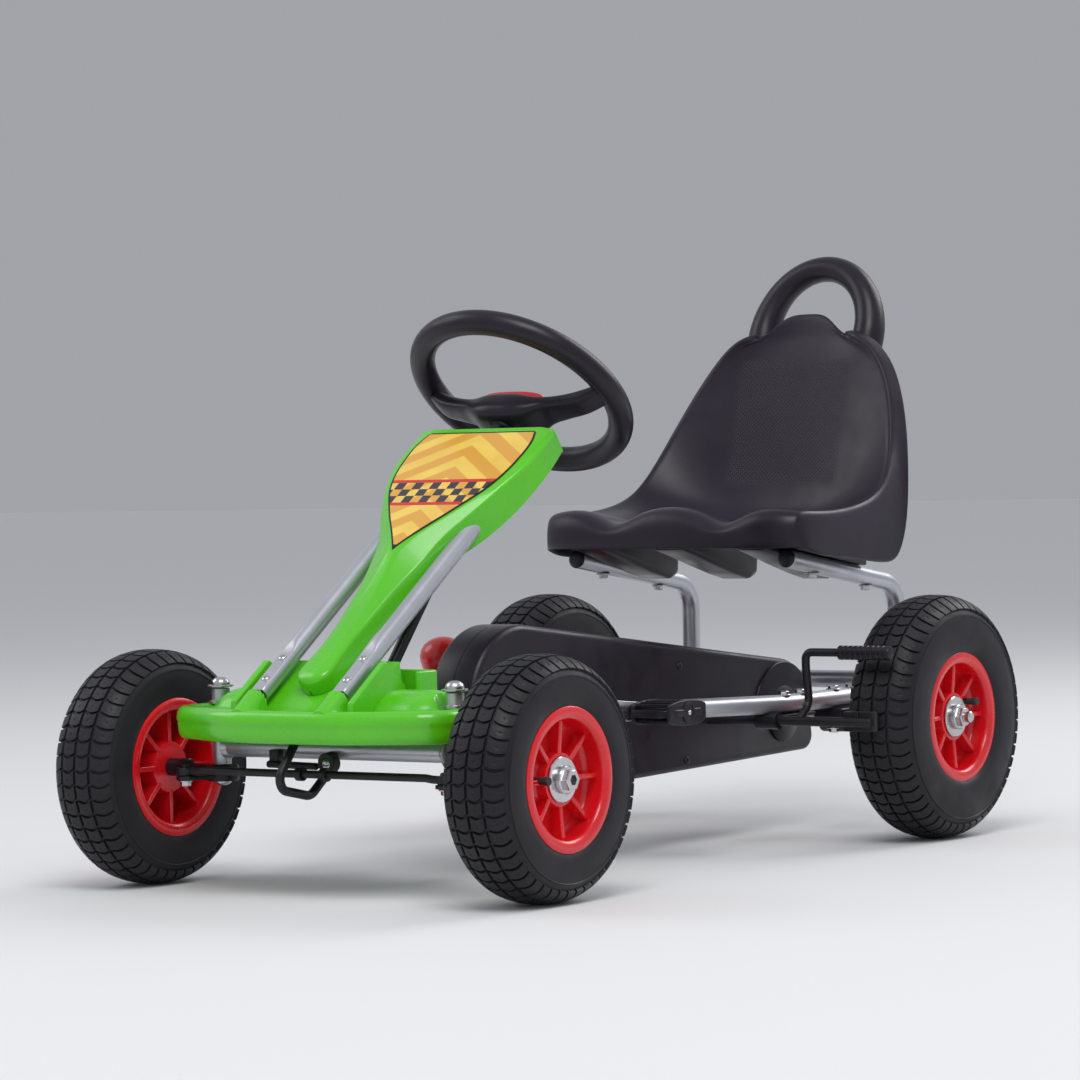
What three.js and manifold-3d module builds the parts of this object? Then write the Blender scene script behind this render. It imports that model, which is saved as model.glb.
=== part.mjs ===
// Child's pedal go-kart with a chain drive, in millimetres.
// The kart faces -Y, +X is the driver's left and +Z is up. The origin lies on the ground, under the
// middle of the kart's outer box.

import * as THREE from 'three';
import * as BufferGeometryUtils from 'three/addons/utils/BufferGeometryUtils.js';
import Module from 'manifold-3d';

const wasm = await Module();
wasm.setup();

// Driving dimensions

const wheelbase = 704;
const clearance = 0.3;
const runningPlay = 0.5;
const overrun = 2;

const tyre = {
  frontRadius: 117.5,
  rearRadius: 130,
  frontWidth: 73,
  rearWidth: 78,
  frontTrack: 480,
  rearTrack: 506,
  casing: 8,
  // Each row is a share of the wall's height and a share of half the width
  outerShares: [[0.25, 0.95], [0.5, 1], [0.86, 0.82], [1, 0.58]],
  innerShares: [[0.45, 1], [1, 0.6]],
};

const rim = {
  seatRadius: 62,
  flangeRadius: 69.5,
  flangeThickness: 4,
  halfWidth: 35.5,
  barrelWall: 5,
  webThickness: 8,
  webSetback: 23.5,
  hubRadius: 25,
  hubInner: 24,
  hubOuter: 24,
  ribs: 8,
  ribThickness: 5.2,
  ribSetback: 9.5,
  hubOverlap: 2,
};

const axle = {
  radius: 6,
  bushWall: 3,
  endBeyondNut: 7,
  washerRadius: 22,
  washerThickness: 2.5,
  nutRadius: 11,
  nutLength: 11,
  shoulderRadius: 9,
};

const beam = {
  radius: 10.5,
  aboveAxle: 23,
  ahead: 4,
};

const kingpin = {
  offset: 145,
  sleeveRadius: 9,
  sleeveHeight: 76,
  pinRadius: 6,
  washerRadius: 13,
  washerThickness: 2,
  capRadius: 9.5,
  capTopRadius: 4.5,
  capHeight: 8,
};

const knuckle = {
  blockRadius: 15,
  above: 3.7,
  below: 11.5,
  sleeveGap: 0.6,
  bossLength: 48,
  bossWidth: 22,
  armDrop: 8.5,
  armThickness: 4,
  armHalfWidth: 9,
  armReach: 38,
  armSpread: 16,
};

const tieRod = {
  radius: 4,
  eyeRadius: 9,
  gap: 0.5,
  pinRadius: 4,
  pinAbove: 2,
  pinPlay: 2.2,
  collarRadius: 7,
  collarLength: 8,
  collarInset: 11,
};

const steering = {
  tilt: 49.8,
  behindBeam: 20.3,
  shaftRadius: 6,
  crankRadius: 4.5,
  sleeveStart: 69,
  wheelAlong: 468.6,
  ringRadius: 109.4,
  gripRadius: 13,
  // Where the cranked foot runs, as distances ahead of the steering axis and along it
  crankAhead: 76,
  crankAlong: 16,
  loopFrontAhead: 75,
  loopFrontAlong: -86.7,
  loopRearAhead: 25,
  loopRearAlong: -59.6,
  footAhead: 19,
  footAlong: -33,
  crankBend: 15,
  loopBend: 11,
  bushAlong: 391.3,
  bushLength: 14,
  bushRadius: 11,
};

const yoke = {
  along: 60,
  thickness: 4,
  halfWidth: 33,
  rear: 16,
  legWidth: 9,
};

const steeringWheel = {
  // Each row is a distance from the middle, half the body's width, and its top and bottom there
  bodyRows: [
    [0, 27, -17.5, -52],
    [24, 25, -18.4, -50],
    [34, 21.5, -19, -45],
    [46, 17, -18, -36],
    [65, 14, -14, -31],
    [90, 13, -6, -24],
    [108, 12.5, 2, -12],
  ],
  bodyPower: 3.2,
  capLength: 32,
  capWidth: 78,
  capHeight: 10,
  capInset: 3,
  capPower: 2.8,
  socketDepth: 22,
  bossRadius: 15,
  bossLength: 54,
};

const steeringStop = {
  aheadOfBeam: 18,
  belowBeam: 15,
  radius: 4,
  start: 10,
  end: 72,
  tabWidth: 14,
  tabThickness: 9,
};

const tower = {
  slope: 35.4,
  tubeRadius: 9.5,
  tubeWall: 1.6,
  tubeSpacing: 50,
  startAhead: 51,
  startAboveAxle: 84.1,
  // The tubes' lower and upper end, as places along them
  tubeStart: -10,
  tubeEnd: 352,
  screwRadius: 4.2,
  screwHeight: 2,
  screwPlaces: [7, 39],
};

const cover = {
  wall: 3,
  endPlate: 3,
  noseStart: 5,
  noseLength: 19,
  noseShares: [0.97, 0.85, 0.6, 0.3],
  edgeReach: 4,
  topReach: 9,
  decalThickness: 0.8,
  // Each row is a place along the tubes, the top's height and half its width, half the width and
  // the height of the edge, and half the width and the height of the bottom
  rows: [
    [24, 7.5, 8, 20, 5.4, 22, -12.1],
    [60, 7.5, 7, 16, 5.4, 20, -12.1],
    [94, 7.7, 7.5, 17.5, 5.8, 21, -10],
    [134, 11.1, 8, 22, 7.2, 26, -9.6],
    [164, 16.6, 6.5, 26.6, 8, 31, -9.6],
    [191, 22.6, 7, 32.4, 9.6, 38, -10],
    [214, 24.6, 16, 37, 12.6, 44, -11.4],
    [253, 25.6, 42, 56, 17.6, 60, -13.4],
    [293, 25.6, 63, 73, 21.6, 76, -10.4],
    [323, 25.6, 72, 82.6, 22.6, 84, -6.4],
    [360, 25.6, 75, 86, 22.6, 85.5, -5],
    [390, 25.6, 68.5, 83.5, 22.6, 83, -4],
  ],
  // Each row is a place along the tubes and half the printed sheet's width
  decalRows: [[193, 1.5], [214, 14.5], [253, 41], [290, 62.5], [333, 72.6], [378, 68.6], [383, 64]],
};

const tray = {
  halfWidth: 169,
  length: 150,
  rearBehindAxle: 52,
  cornerBehindNose: 42,
  noseHalfWidth: 70,
  rearReach: 18,
  cornerReach: 34,
  noseReach: 46,
  bottomAboveAxle: 33.5,
  topAboveAxle: 65.5,
  bevel: 6,
  wall: 4,
  lipWidth: 16,
  floorDrop: 2.4,
  humpInner: 80,
  humpOuter: 106,
  humpEnd: 32,
  humpHalfLength: 40,
  humpHeight: 26,
  humpAboveAxle: 55.5,
  sleevePlay: 2,
  podRadius: 12,
  podDrop: 2.4,
  podAhead: 36,
  rampHalfWidth: 70,
  rampBelowTubes: 12.4,
  rampDepth: 30,
  rampFront: 16,
  rampRearBehindAxle: 7,
  finInner: 68,
  finOuter: 75.5,
  // The fin's side, as distances behind the axle and above it
  finCorners: [[-72, 60.5], [-72, 73.2], [-19.8, 110.1], [10.5, 84.3], [10.5, 60.5]],
  cavityHalfWidth: 60,
  cavityAhead: 76,
  roof: 4,
  slotHalfWidth: 37,
  boxInner: 40,
  boxOuter: 86.5,
  boxLength: 35,
  boxTopAboveAxle: 98,
  boxWall: 4.5,
};

const rail = {
  radius: 10,
  wall: 1.6,
  frontSpread: 80,
  midSpread: 91,
  rearSpread: 137,
  kickStart: 252,
  kickEnd: 346,
  kickRise: 14.5,
  flareEnd: 585,
  uprightBehindAxle: 118,
  bend: 34,
  elbow: 12,
  // How far the seat rails' rear and front ends lie below the seat's pan
  seatRearDrop: 58,
  seatFrontDrop: 22,
  seatReach: 222,
  plugLength: 18,
  plugRim: 3,
  crossRadius: 10,
  crossAhead: 5.5,
  crossAbove: 12.2,
};

const crank = {
  behindFrontAxle: 234,
  aboveRail: 24.5,
  radius: 8,
  armLength: 128,
  armThickness: 5.5,
  armHalfWidth: 10,
  armInset: 110.5,
  restDrop: 4.6,
  spindleRadius: 5,
  bearingAhead: 20,
  bearingBehind: 6,
  bearingWidth: 30,
  bearingAbove: 7,
};

const pedal = {
  gap: 1.2,
  length: 50,
  halfWidth: 34,
  halfThickness: 13,
  slotWidth: 12,
  slotLength: 26,
  slotInset: 9,
  hubRadius: 9,
  roundReach: 16,
};

const axleBearing = {
  length: 60,
  inner: 119,
  outer: 155,
  above: 2,
  below: 12,
};

const drive = {
  pitch: 12.7,
  frontTeeth: 24,
  rearTeeth: 14,
  plate: 3,
  toothTip: 2.6,
  toothRoot: 3.4,
  hubRadius: 15,
  hubLength: 10,
  plane: 32,
  toothRiseShares: [0.3, 0.45, 0.85],
  chainHalfHeight: 5.5,
  chainWidth: 8,
  groove: 4,
};

const chainCover = {
  inner: 4,
  outer: 60,
  wall: 2.5,
  frontRadius: 85.5,
  frontAhead: 12,
  rearRadius: 60,
  cornerBehind: 65,
  cornerDrop: 43,
  bellyAhead: 293,
  bellyDrop: 51,
  shaftPlay: 4,
  axlePlay: 5,
  bulgeRadius: 30,
  bulgeTopRadius: 15,
  bulgeHeight: 6,
  passagePlay: 8,
  lugAhead: 52,
  lugLength: 26,
  lugHalfHeight: 9,
};

const brake = {
  aheadOfAxle: 146,
  radius: 5,
  railGap: 0.8,
  reach: 263,
  passage: 1.5,
  leverOffset: 173,
  leverRadius: 4.2,
  // The lever's corners, as distances behind the bar and above it
  leverCorners: [[22, 17], [17, 57], [17, 71.9]],
  leverBends: [10, 7, 7],
  gripInner: 215,
  gripOuter: 279,
  gripRadius: 7.5,
  padLength: 37,
  padThickness: 6,
  padAbove: 11,
  padBelow: 10,
  holderThickness: 4,
  bracketWidth: 26,
  bracketLength: 74,
  bracketPlate: 3.5,
  lugThickness: 3.5,
};

const driveLever = {
  behindCrank: 56,
  height: 56,
  radius: 4,
  pivotAbove: 9,
  bracketLength: 26,
  bracketWidth: 20,
  bracketHeight: 15,
  slotHeight: 30,
  bladeWidth: 7,
  pinRadius: 3,
  knobRadius: 23.5,
  knobStart: 18,
  knobLength: 52,
  // Each row is a share of the knob's length and a share of its radius
  knobShares: [[0, 0.45], [0.12, 0.75], [0.4, 1], [0.65, 0.9], [0.85, 0.62], [1, 0.2]],
};

const seat = {
  frontAhead: 135,
  panHeight: 325,
  wall: 4.5,
  thighHollow: 19,
  thighPlace: 71,
  thighWidth: 31,
  thighReach: 105,
  crestHalfWidth: 42,
  handleRadius: 15,
  handleFootRadius: 18,
  handleHalfWidth: 70,
  handleBase: 223,
  handleRise: 74.5,
  handleBehind: 318,
  handleLeanShare: 0.33,
  // How far the handle's feet go down behind the backrest, and how far forward they come
  handleFootDrop: 56,
  handleFootAhead: 14,
  bossHalfWidth: 11,
  bossStart: 8,
  bossEnd: 150,
  bossSteps: 6,
  // Each row crosses the seat: the middle's place, the rim's half width and place, the skirt's half
  // width and place, as distances behind the seat's front and above its pan, and the crest's height
  rows: [
    [0.5, -10.5, 158, 12, -10.5, 163, 19, -11, 0],
    [0.5, 19, 158, 12, 14, 165, 21, -12, 0],
    [6, 28.5, 159, 16, 22, 166, 23, -13, 0],
    [17, 32, 161, 27, 25, 167.5, 31, -16, 0],
    [35, 28, 163, 45, 24.5, 168, 45, -19.6, 0],
    [58, 20, 164, 73, 24, 168, 68, -21.5, 0],
    [103, 7, 164, 113, 26.5, 168, 108, -25, 0],
    [153, 0, 163.5, 151, 33, 168, 148, -30, 0],
    [198, 2, 162, 177, 42.5, 168, 187, -33.5, 0],
    [223, 13, 160, 196, 55, 167.5, 207, -26, 0],
    [238, 37, 155, 215, 75, 167, 227, 10, 0],
    [251, 80, 147, 232, 101, 164, 238, 70, 0],
    [264, 125, 138, 247.5, 127, 150, 259, 119, 0],
    [276, 165, 124, 266, 162, 133, 277, 159, 0],
    [286, 197, 107, 277, 195, 117, 289.5, 193, 0],
    [296, 216, 92, 280, 214, 95.6, 289, 216, 0],
    [303, 224, 82, 286, 220, 84, 295, 222, 22],
  ],
  // How sharply each row turns up into its rim
  rimPowers: [9, 9, 8, 5, 3, 2.4],
};
const seatColumnShares = [0, 0.16, 0.32, 0.48, 0.62, 0.75, 0.86, 0.94, 1];

// Round shapes have this many sides
const sides = {
  wheel: 30,
  rim: 20,
  tube: 12,
  rod: 8,
  round: 16,
  grip: 8,
  ring: 32,
};

// Finishes

const finish = (colour, roughness, metalness) => new THREE.MeshStandardMaterial({
  color: colour,
  roughness,
  metalness,
});
const blackRubber = finish(0x17161a, 0.85, 0);
const redPlastic = finish(0xd81418, 0.3, 0);
const greenPlastic = finish(0x4fc413, 0.28, 0);
const blackPlastic = finish(0x1d191f, 0.5, 0);
const silverPaint = finish(0xa9abb2, 0.35, 0.6);
const blackSteel = finish(0x121114, 0.45, 0.5);
const chromeSteel = finish(0xc9ccd2, 0.2, 1);
const printedSheet = finish(0xf2b21c, 0.4, 0);

// Places worked out from the driving dimensions

const radians = THREE.MathUtils.degToRad;
const frontY = -wheelbase / 2;
const rearY = wheelbase / 2;
const frontZ = tyre.frontRadius;
const rearZ = tyre.rearRadius;
const beamY = frontY - beam.ahead;
const beamZ = frontZ + beam.aboveAxle;
const railFrontZ = beamZ;
const bearingTop = rearZ + axle.radius + clearance + axleBearing.above;
const railRearZ = bearingTop + clearance + rail.radius;
const crankY = frontY + crank.behindFrontAxle;
const crankZ = railFrontZ + crank.aboveRail;
const brakeY = rearY - brake.aheadOfAxle;
const brakeZ = railRearZ - rail.radius - brake.railGap - brake.radius;

const point = (x, y, z) => new THREE.Vector3(x, y, z);

// Joining and cutting closed shapes

function solidOf(geometry) {
  const bare = geometry.clone();
  bare.deleteAttribute('normal');
  bare.deleteAttribute('uv');
  const merged = BufferGeometryUtils.mergeVertices(bare, 1e-4);
  return new wasm.Manifold(new wasm.Mesh({
    numProp: 3,
    vertProperties: new Float32Array(merged.attributes.position.array),
    triVerts: new Uint32Array(merged.index.array),
  }));
}

function geometryOf(solid) {
  const mesh = solid.getMesh();
  const geometry = new THREE.BufferGeometry();
  const places = new Float32Array(mesh.vertProperties);
  geometry.setAttribute('position', new THREE.BufferAttribute(places, mesh.numProp));
  geometry.setIndex(new THREE.BufferAttribute(new Uint32Array(mesh.triVerts), 1));
  geometry.computeVertexNormals();
  return geometry;
}

function join(...shapes) {
  return geometryOf(shapes.map(solidOf).reduce((whole, next) => whole.add(next)));
}

function cut(shape, ...cutters) {
  return geometryOf(cutters.map(solidOf).reduce((whole, next) => whole.subtract(next), solidOf(shape)));
}

// The same shape on the other side of the plane x = 0, still facing out
function mirrored(geometry) {
  const copy = geometry.clone().applyMatrix4(new THREE.Matrix4().makeScale(-1, 1, 1));
  const order = copy.index ? [...copy.index.array] : [...Array(copy.attributes.position.count).keys()];
  for (let i = 0; i < order.length; i += 3) {
    [order[i + 1], order[i + 2]] = [order[i + 2], order[i + 1]];
  }
  copy.setIndex(order);
  copy.computeVertexNormals();
  return copy;
}

// Basic closed shapes

function block(x0, x1, y0, y1, z0, z1) {
  return new THREE.BoxGeometry(x1 - x0, y1 - y0, z1 - z0)
    .translate((x0 + x1) / 2, (y0 + y1) / 2, (z0 + z1) / 2);
}

function rod(from, to, radius, count = sides.tube, tip = radius) {
  const line = to.clone().sub(from);
  const length = line.length();
  const turn = new THREE.Quaternion().setFromUnitVectors(point(0, 1, 0), line.clone().normalize());
  return new THREE.CylinderGeometry(tip, radius, length, count)
    .translate(0, length / 2, 0)
    .applyQuaternion(turn)
    .translate(from.x, from.y, from.z);
}

function hoop(from, to, outer, inner, count = sides.tube) {
  const extra = to.clone().sub(from).setLength(overrun);
  const hole = rod(from.clone().sub(extra), to.clone().add(extra), inner, count);
  return cut(rod(from, to, outer, count), hole);
}

// A closed profile of [radius, distance outward], turned round an axis along X
function turned(profile, centre, side, count) {
  const area = profile.reduce((sum, [r, a], i) => {
    const [nextR, nextA] = profile[(i + 1) % profile.length];
    return sum + r * nextA - nextR * a;
  }, 0);
  const ordered = area > 0 ? profile : [...profile].reverse();
  const closed = [...ordered, ordered[0]].map(([r, a]) => new THREE.Vector2(r, a));
  return new THREE.LatheGeometry(closed, count, Math.PI / count)
    .rotateZ(-Math.PI / 2)
    .rotateZ(side > 0 ? 0 : Math.PI)
    .translate(centre.x, centre.y, centre.z);
}

function ringSection(outer, inner, count) {
  const corners = (radius) => Array.from({ length: count }, (_, i) => {
    const angle = (2 * Math.PI * (i + 0.5)) / count;
    return new THREE.Vector2(radius * Math.cos(angle), radius * Math.sin(angle));
  });
  const section = new THREE.Shape(corners(outer));
  if (inner > 0) section.holes.push(new THREE.Path(corners(inner)));
  return section;
}

// Straight lines with rounded corners, in steps that are short only where the line bends
class Route extends THREE.Curve {
  constructor(corners, bends, bendSteps = 3) {
    super();
    this.places = [corners[0]];
    this.headings = [corners[1].clone().sub(corners[0]).normalize()];
    for (let i = 1; i < corners.length - 1; i += 1) {
      const corner = corners[i];
      const reach = Array.isArray(bends) ? bends[i - 1] : bends;
      const before = corner.clone().add(corners[i - 1].clone().sub(corner).setLength(reach));
      const after = corner.clone().add(corners[i + 1].clone().sub(corner).setLength(reach));
      const arc = new THREE.QuadraticBezierCurve3(before, corner, after);
      for (let step = 0; step <= bendSteps; step += 1) {
        this.places.push(arc.getPoint(step / bendSteps));
        this.headings.push(arc.getTangent(step / bendSteps));
      }
    }
    const last = corners.length - 1;
    this.places.push(corners[last]);
    this.headings.push(corners[last].clone().sub(corners[last - 1]).normalize());
    this.steps = this.places.length - 1;
  }

  getPoint(share, target = new THREE.Vector3()) {
    return target.copy(this.places[Math.round(share * this.steps)]);
  }

  getPointAt(share, target) {
    return this.getPoint(share, target);
  }

  getTangentAt(share, target = new THREE.Vector3()) {
    return target.copy(this.headings[Math.round(share * this.steps)]);
  }
}

function tube(route, outer, inner = 0, count = sides.tube) {
  return new THREE.ExtrudeGeometry(ringSection(outer, inner, count), {
    extrudePath: route,
    steps: route.steps,
    bevelEnabled: false,
  });
}

function plate(shape, depth, options = {}) {
  return new THREE.ExtrudeGeometry(shape, { depth, bevelEnabled: false, curveSegments: 8, ...options });
}

// An outline in Y and Z, pushed out along X from x0 to x1
function sideways(shape, x0, x1) {
  const turn = new THREE.Matrix4().makeBasis(point(0, 1, 0), point(0, 0, 1), point(1, 0, 0));
  return plate(shape, x1 - x0).applyMatrix4(turn).translate(x0, 0, 0);
}

const outline = (places) => new THREE.Shape(places.map(([a, b]) => new THREE.Vector2(a, b)));

// A closed shape from places and triangles, turned over if its faces point inwards
function facingOut(places, order) {
  const corner = (i) => new THREE.Vector3().fromArray(places, order[i] * 3);
  let volume = 0;
  for (let i = 0; i < order.length; i += 3) {
    volume += corner(i).dot(corner(i + 1).cross(corner(i + 2)));
  }
  const faces = [...order];
  for (let i = 0; volume < 0 && i < faces.length; i += 3) {
    [faces[i + 1], faces[i + 2]] = [faces[i + 2], faces[i + 1]];
  }
  const geometry = new THREE.BufferGeometry();
  geometry.setAttribute('position', new THREE.Float32BufferAttribute(places, 3));
  geometry.setIndex(faces);
  return geometry;
}

// Rings of points of one count, one after another, closed at both ends from each ring's middle
function loft(rings) {
  const width = rings[0].length;
  const places = rings.flat().flatMap((place) => place.toArray());
  const order = [];
  for (let i = 0; i < rings.length - 1; i += 1) {
    for (let j = 0; j < width; j += 1) {
      const [a, b] = [i * width + j, i * width + ((j + 1) % width)];
      order.push(a, b, b + width, a, b + width, a + width);
    }
  }
  for (const end of [0, rings.length - 1]) {
    const ring = rings[end];
    const middle = ring.reduce((sum, place) => sum.add(place), point(0, 0, 0)).divideScalar(width);
    const centre = places.length / 3;
    places.push(...middle.toArray());
    for (let j = 0; j < width; j += 1) {
      const [a, b] = [end * width + j, end * width + ((j + 1) % width)];
      if (end === 0) order.push(centre, b, a);
      else order.push(centre, a, b);
    }
  }
  return facingOut(places, order);
}

// A corner between two lines, rounded so that the arc starts at the reach from it
function roundCorner([x0, y0], [x1, y1], [x2, y2], reach, steps = 2) {
  const from = new THREE.Vector2(x1, y1);
  const back = new THREE.Vector2(x0, y0).sub(from);
  const on = new THREE.Vector2(x2, y2).sub(from);
  const start = back.clone().setLength(Math.min(reach, back.length() / 2)).add(from);
  const end = on.clone().setLength(Math.min(reach, on.length() / 2)).add(from);
  const arc = new THREE.QuadraticBezierCurve(start, from, end);
  return Array.from({ length: steps + 1 }, (_, i) => arc.getPoint(i / steps).toArray());
}

function superellipse(halfWidth, halfHeight, power, count) {
  return Array.from({ length: count }, (_, i) => {
    const angle = (2 * Math.PI * i) / count;
    const bulge = (value) => Math.sign(value) * Math.abs(value) ** (2 / power);
    return [halfWidth * bulge(Math.cos(angle)), halfHeight * bulge(Math.sin(angle))];
  });
}

// The row of a table at a place along its first column
function rowAt(table, place) {
  const found = table.findIndex(([key]) => key >= place);
  const next = found < 0 ? table.length - 1 : Math.max(found, 1);
  const [before, after] = [table[next - 1], table[next]];
  const share = THREE.MathUtils.clamp((place - before[0]) / (after[0] - before[0]), 0, 1);
  return before.map((value, i) => THREE.MathUtils.lerp(value, after[i], share));
}

// The assembly

const kart = new THREE.Group();

function piece(name, geometry, material, parent = kart) {
  const mesh = new THREE.Mesh(geometry, material);
  mesh.name = name;
  parent.add(mesh);
}

// A piece drawn on the left, and its mirror image on the right
function pair(name, geometry, material, parent = kart) {
  piece(`${name}_left`, geometry, material, parent);
  piece(`${name}_right`, mirrored(geometry), material, parent);
}

// Wheels

function tyreShape(radius, width, centre, side) {
  const flat = 1 / Math.cos(Math.PI / sides.wheel);
  const half = width / 2;
  const seatRadius = rim.seatRadius + clearance;
  const lip = rim.flangeRadius + clearance;
  const bead = rim.halfWidth - rim.flangeThickness - clearance;
  const wallHeight = radius - lip;
  const casing = tyre.casing;
  const outer = [
    [seatRadius, bead],
    [lip, bead],
    ...tyre.outerShares.map(([up, out]) => [lip + wallHeight * up, half * out]),
  ];
  const inner = [
    [seatRadius, bead - casing],
    ...tyre.innerShares.map(([up, out]) => [lip + (wallHeight - casing) * up, (half - casing) * out]),
  ];
  const across = (places) => places.map(([r, a]) => [r, -a]);
  const loop = [...outer, ...across(outer).reverse(), ...across(inner), ...inner.reverse()];
  return turned(loop.map(([r, a]) => [r * flat, a]), centre, side, sides.wheel);
}

function rimShape(centre, side) {
  const edge = rim.halfWidth;
  const barrel = rim.seatRadius - rim.barrelWall;
  const webFront = edge - rim.webSetback;
  const webBack = webFront - rim.webThickness;
  const bore = axle.radius + axle.bushWall + clearance;
  const disc = turned([
    [bore, -rim.hubInner],
    [rim.hubRadius, -rim.hubInner],
    [rim.hubRadius, webBack],
    [barrel, webBack],
    [barrel, -edge],
    [rim.flangeRadius, -edge],
    [rim.flangeRadius, rim.flangeThickness - edge],
    [rim.seatRadius, rim.flangeThickness - edge],
    [rim.seatRadius, edge - rim.flangeThickness],
    [rim.flangeRadius, edge - rim.flangeThickness],
    [rim.flangeRadius, edge],
    [barrel, edge],
    [barrel, webFront],
    [rim.hubRadius, webFront],
    [rim.hubRadius, rim.hubOuter],
    [bore, rim.hubOuter],
  ], centre, side, sides.rim);
  const ribs = Array.from({ length: rim.ribs }, (_, i) => {
    const half = rim.ribThickness / 2;
    const inward = rim.hubRadius - rim.hubOverlap;
    const rib = block(-rim.hubInner, edge - rim.ribSetback, -half, half, inward, barrel + overrun)
      .rotateX((2 * Math.PI * i) / rim.ribs)
      .rotateZ(side > 0 ? 0 : Math.PI);
    return rib.translate(centre.x, centre.y, centre.z);
  });
  return join(disc, ...ribs);
}

function wheelNut(centre, side) {
  const start = rim.hubOuter + clearance;
  const middle = start + axle.washerThickness;
  const end = middle + axle.nutLength;
  const at = (out) => point(centre.x + side * out, centre.y, centre.z);
  const washer = rod(at(start), at(middle), axle.washerRadius, sides.round);
  const nut = rod(at(middle - clearance), at(end), axle.nutRadius, 6);
  const hole = rod(at(start - overrun), at(end + overrun), axle.radius + clearance);
  return cut(join(washer, nut), hole);
}

function hubBush(centre, side) {
  const at = (out) => point(centre.x + side * out, centre.y, centre.z);
  const outer = axle.radius + axle.bushWall;
  return hoop(at(-rim.hubInner), at(rim.hubOuter), outer, axle.radius + clearance);
}

const axleEnd = (track) => track / 2 + rim.hubOuter + axle.washerThickness + axle.nutLength
  + axle.endBeyondNut;

const corners = [
  ['front_left', 1, frontZ, tyre.frontWidth, tyre.frontTrack, frontY],
  ['front_right', -1, frontZ, tyre.frontWidth, tyre.frontTrack, frontY],
  ['rear_left', 1, rearZ, tyre.rearWidth, tyre.rearTrack, rearY],
  ['rear_right', -1, rearZ, tyre.rearWidth, tyre.rearTrack, rearY],
];
for (const [corner, side, radius, width, track, y] of corners) {
  const centre = point((side * track) / 2, y, radius);
  piece(`tyre_${corner}`, tyreShape(radius, width, centre, side), blackRubber);
  piece(`rim_${corner}`, rimShape(centre, side), redPlastic);
  piece(`wheel_nut_${corner}`, wheelNut(centre, side), chromeSteel);
  piece(`hub_bush_${corner}`, hubBush(centre, side), blackPlastic);
}

// Knuckles, kingpin caps and tie rod

const blockTop = frontZ + knuckle.above;
const blockBottom = frontZ - knuckle.below;
const sleeveBottom = blockTop + knuckle.sleeveGap;
const sleeveTop = sleeveBottom + kingpin.sleeveHeight;
const capBase = sleeveTop + knuckle.sleeveGap;
const armBottom = frontZ - knuckle.armDrop;
const armTop = armBottom + knuckle.armThickness;
const pivotX = kingpin.offset + knuckle.armSpread;
const pivotY = beamY - knuckle.armReach;
const tieRodZ = armTop + tieRod.gap + tieRod.radius;

function knuckleShape() {
  const x = kingpin.offset;
  const bossEnd = x + knuckle.bossLength;
  const halfBoss = knuckle.bossWidth / 2;
  const hub = tyre.frontTrack / 2 - rim.hubInner - knuckle.sleeveGap;
  const at = (out) => point(out, frontY, frontZ);
  const arm = block(-knuckle.armHalfWidth, knuckle.armHalfWidth, -knuckle.armReach, 0, armBottom, armTop);
  const lean = new THREE.Matrix4().set(
    1, -knuckle.armSpread / knuckle.armReach, 0, x,
    0, 1, 0, beamY,
    0, 0, 1, 0,
    0, 0, 0, 1,
  );
  const pinTop = tieRodZ + tieRod.radius + tieRod.pinAbove;
  return join(
    rod(point(x, beamY, blockBottom), point(x, beamY, blockTop), knuckle.blockRadius, sides.round),
    rod(point(x, beamY, blockTop - overrun), point(x, beamY, capBase), kingpin.pinRadius),
    block(x, bossEnd, frontY - halfBoss, frontY + halfBoss, blockBottom, blockTop),
    rod(at(bossEnd - overrun), at(hub), axle.shoulderRadius),
    rod(at(hub - overrun), at(axleEnd(tyre.frontTrack)), axle.radius),
    arm.applyMatrix4(lean),
    rod(point(pivotX, pivotY, armBottom), point(pivotX, pivotY, armTop), knuckle.armHalfWidth),
    rod(point(pivotX, pivotY, armBottom), point(pivotX, pivotY, pinTop), tieRod.pinRadius),
  );
}

function kingpinCap() {
  const at = (up) => point(kingpin.offset, beamY, capBase + clearance + up);
  const washer = kingpin.washerThickness;
  return join(
    rod(at(0), at(washer), kingpin.washerRadius, sides.round),
    rod(at(washer / 2), at(washer + kingpin.capHeight), kingpin.capRadius, sides.round, kingpin.capTopRadius),
  );
}

function tieRodShape() {
  const at = (x, up = 0) => point(x, pivotY, tieRodZ + up);
  const reach = pivotX - tieRod.pinRadius - tieRod.pinPlay - clearance;
  const eye = (x) => rod(at(x, -tieRod.radius), at(x, tieRod.radius), tieRod.eyeRadius, sides.round);
  const hole = (x, play) => {
    const radius = tieRod.pinRadius + play;
    return rod(at(x, -tieRod.radius - overrun), at(x, tieRod.radius + overrun), radius, sides.round);
  };
  const collar = (side) => {
    const start = side * tieRod.collarInset;
    return rod(at(start), at(start + side * tieRod.collarLength), tieRod.collarRadius);
  };
  const whole = join(rod(at(-reach), at(reach), tieRod.radius), eye(pivotX), eye(-pivotX), collar(1), collar(-1));
  return cut(whole, hole(pivotX, runningPlay), hole(-pivotX, tieRod.pinPlay));
}

pair('knuckle', knuckleShape(), blackSteel);
pair('kingpin_cap', kingpinCap(), chromeSteel);
piece('tie_rod', tieRodShape(), blackSteel);

// Steering, in a frame whose +Z runs up the shaft to the driver and whose -Y looks ahead

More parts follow.
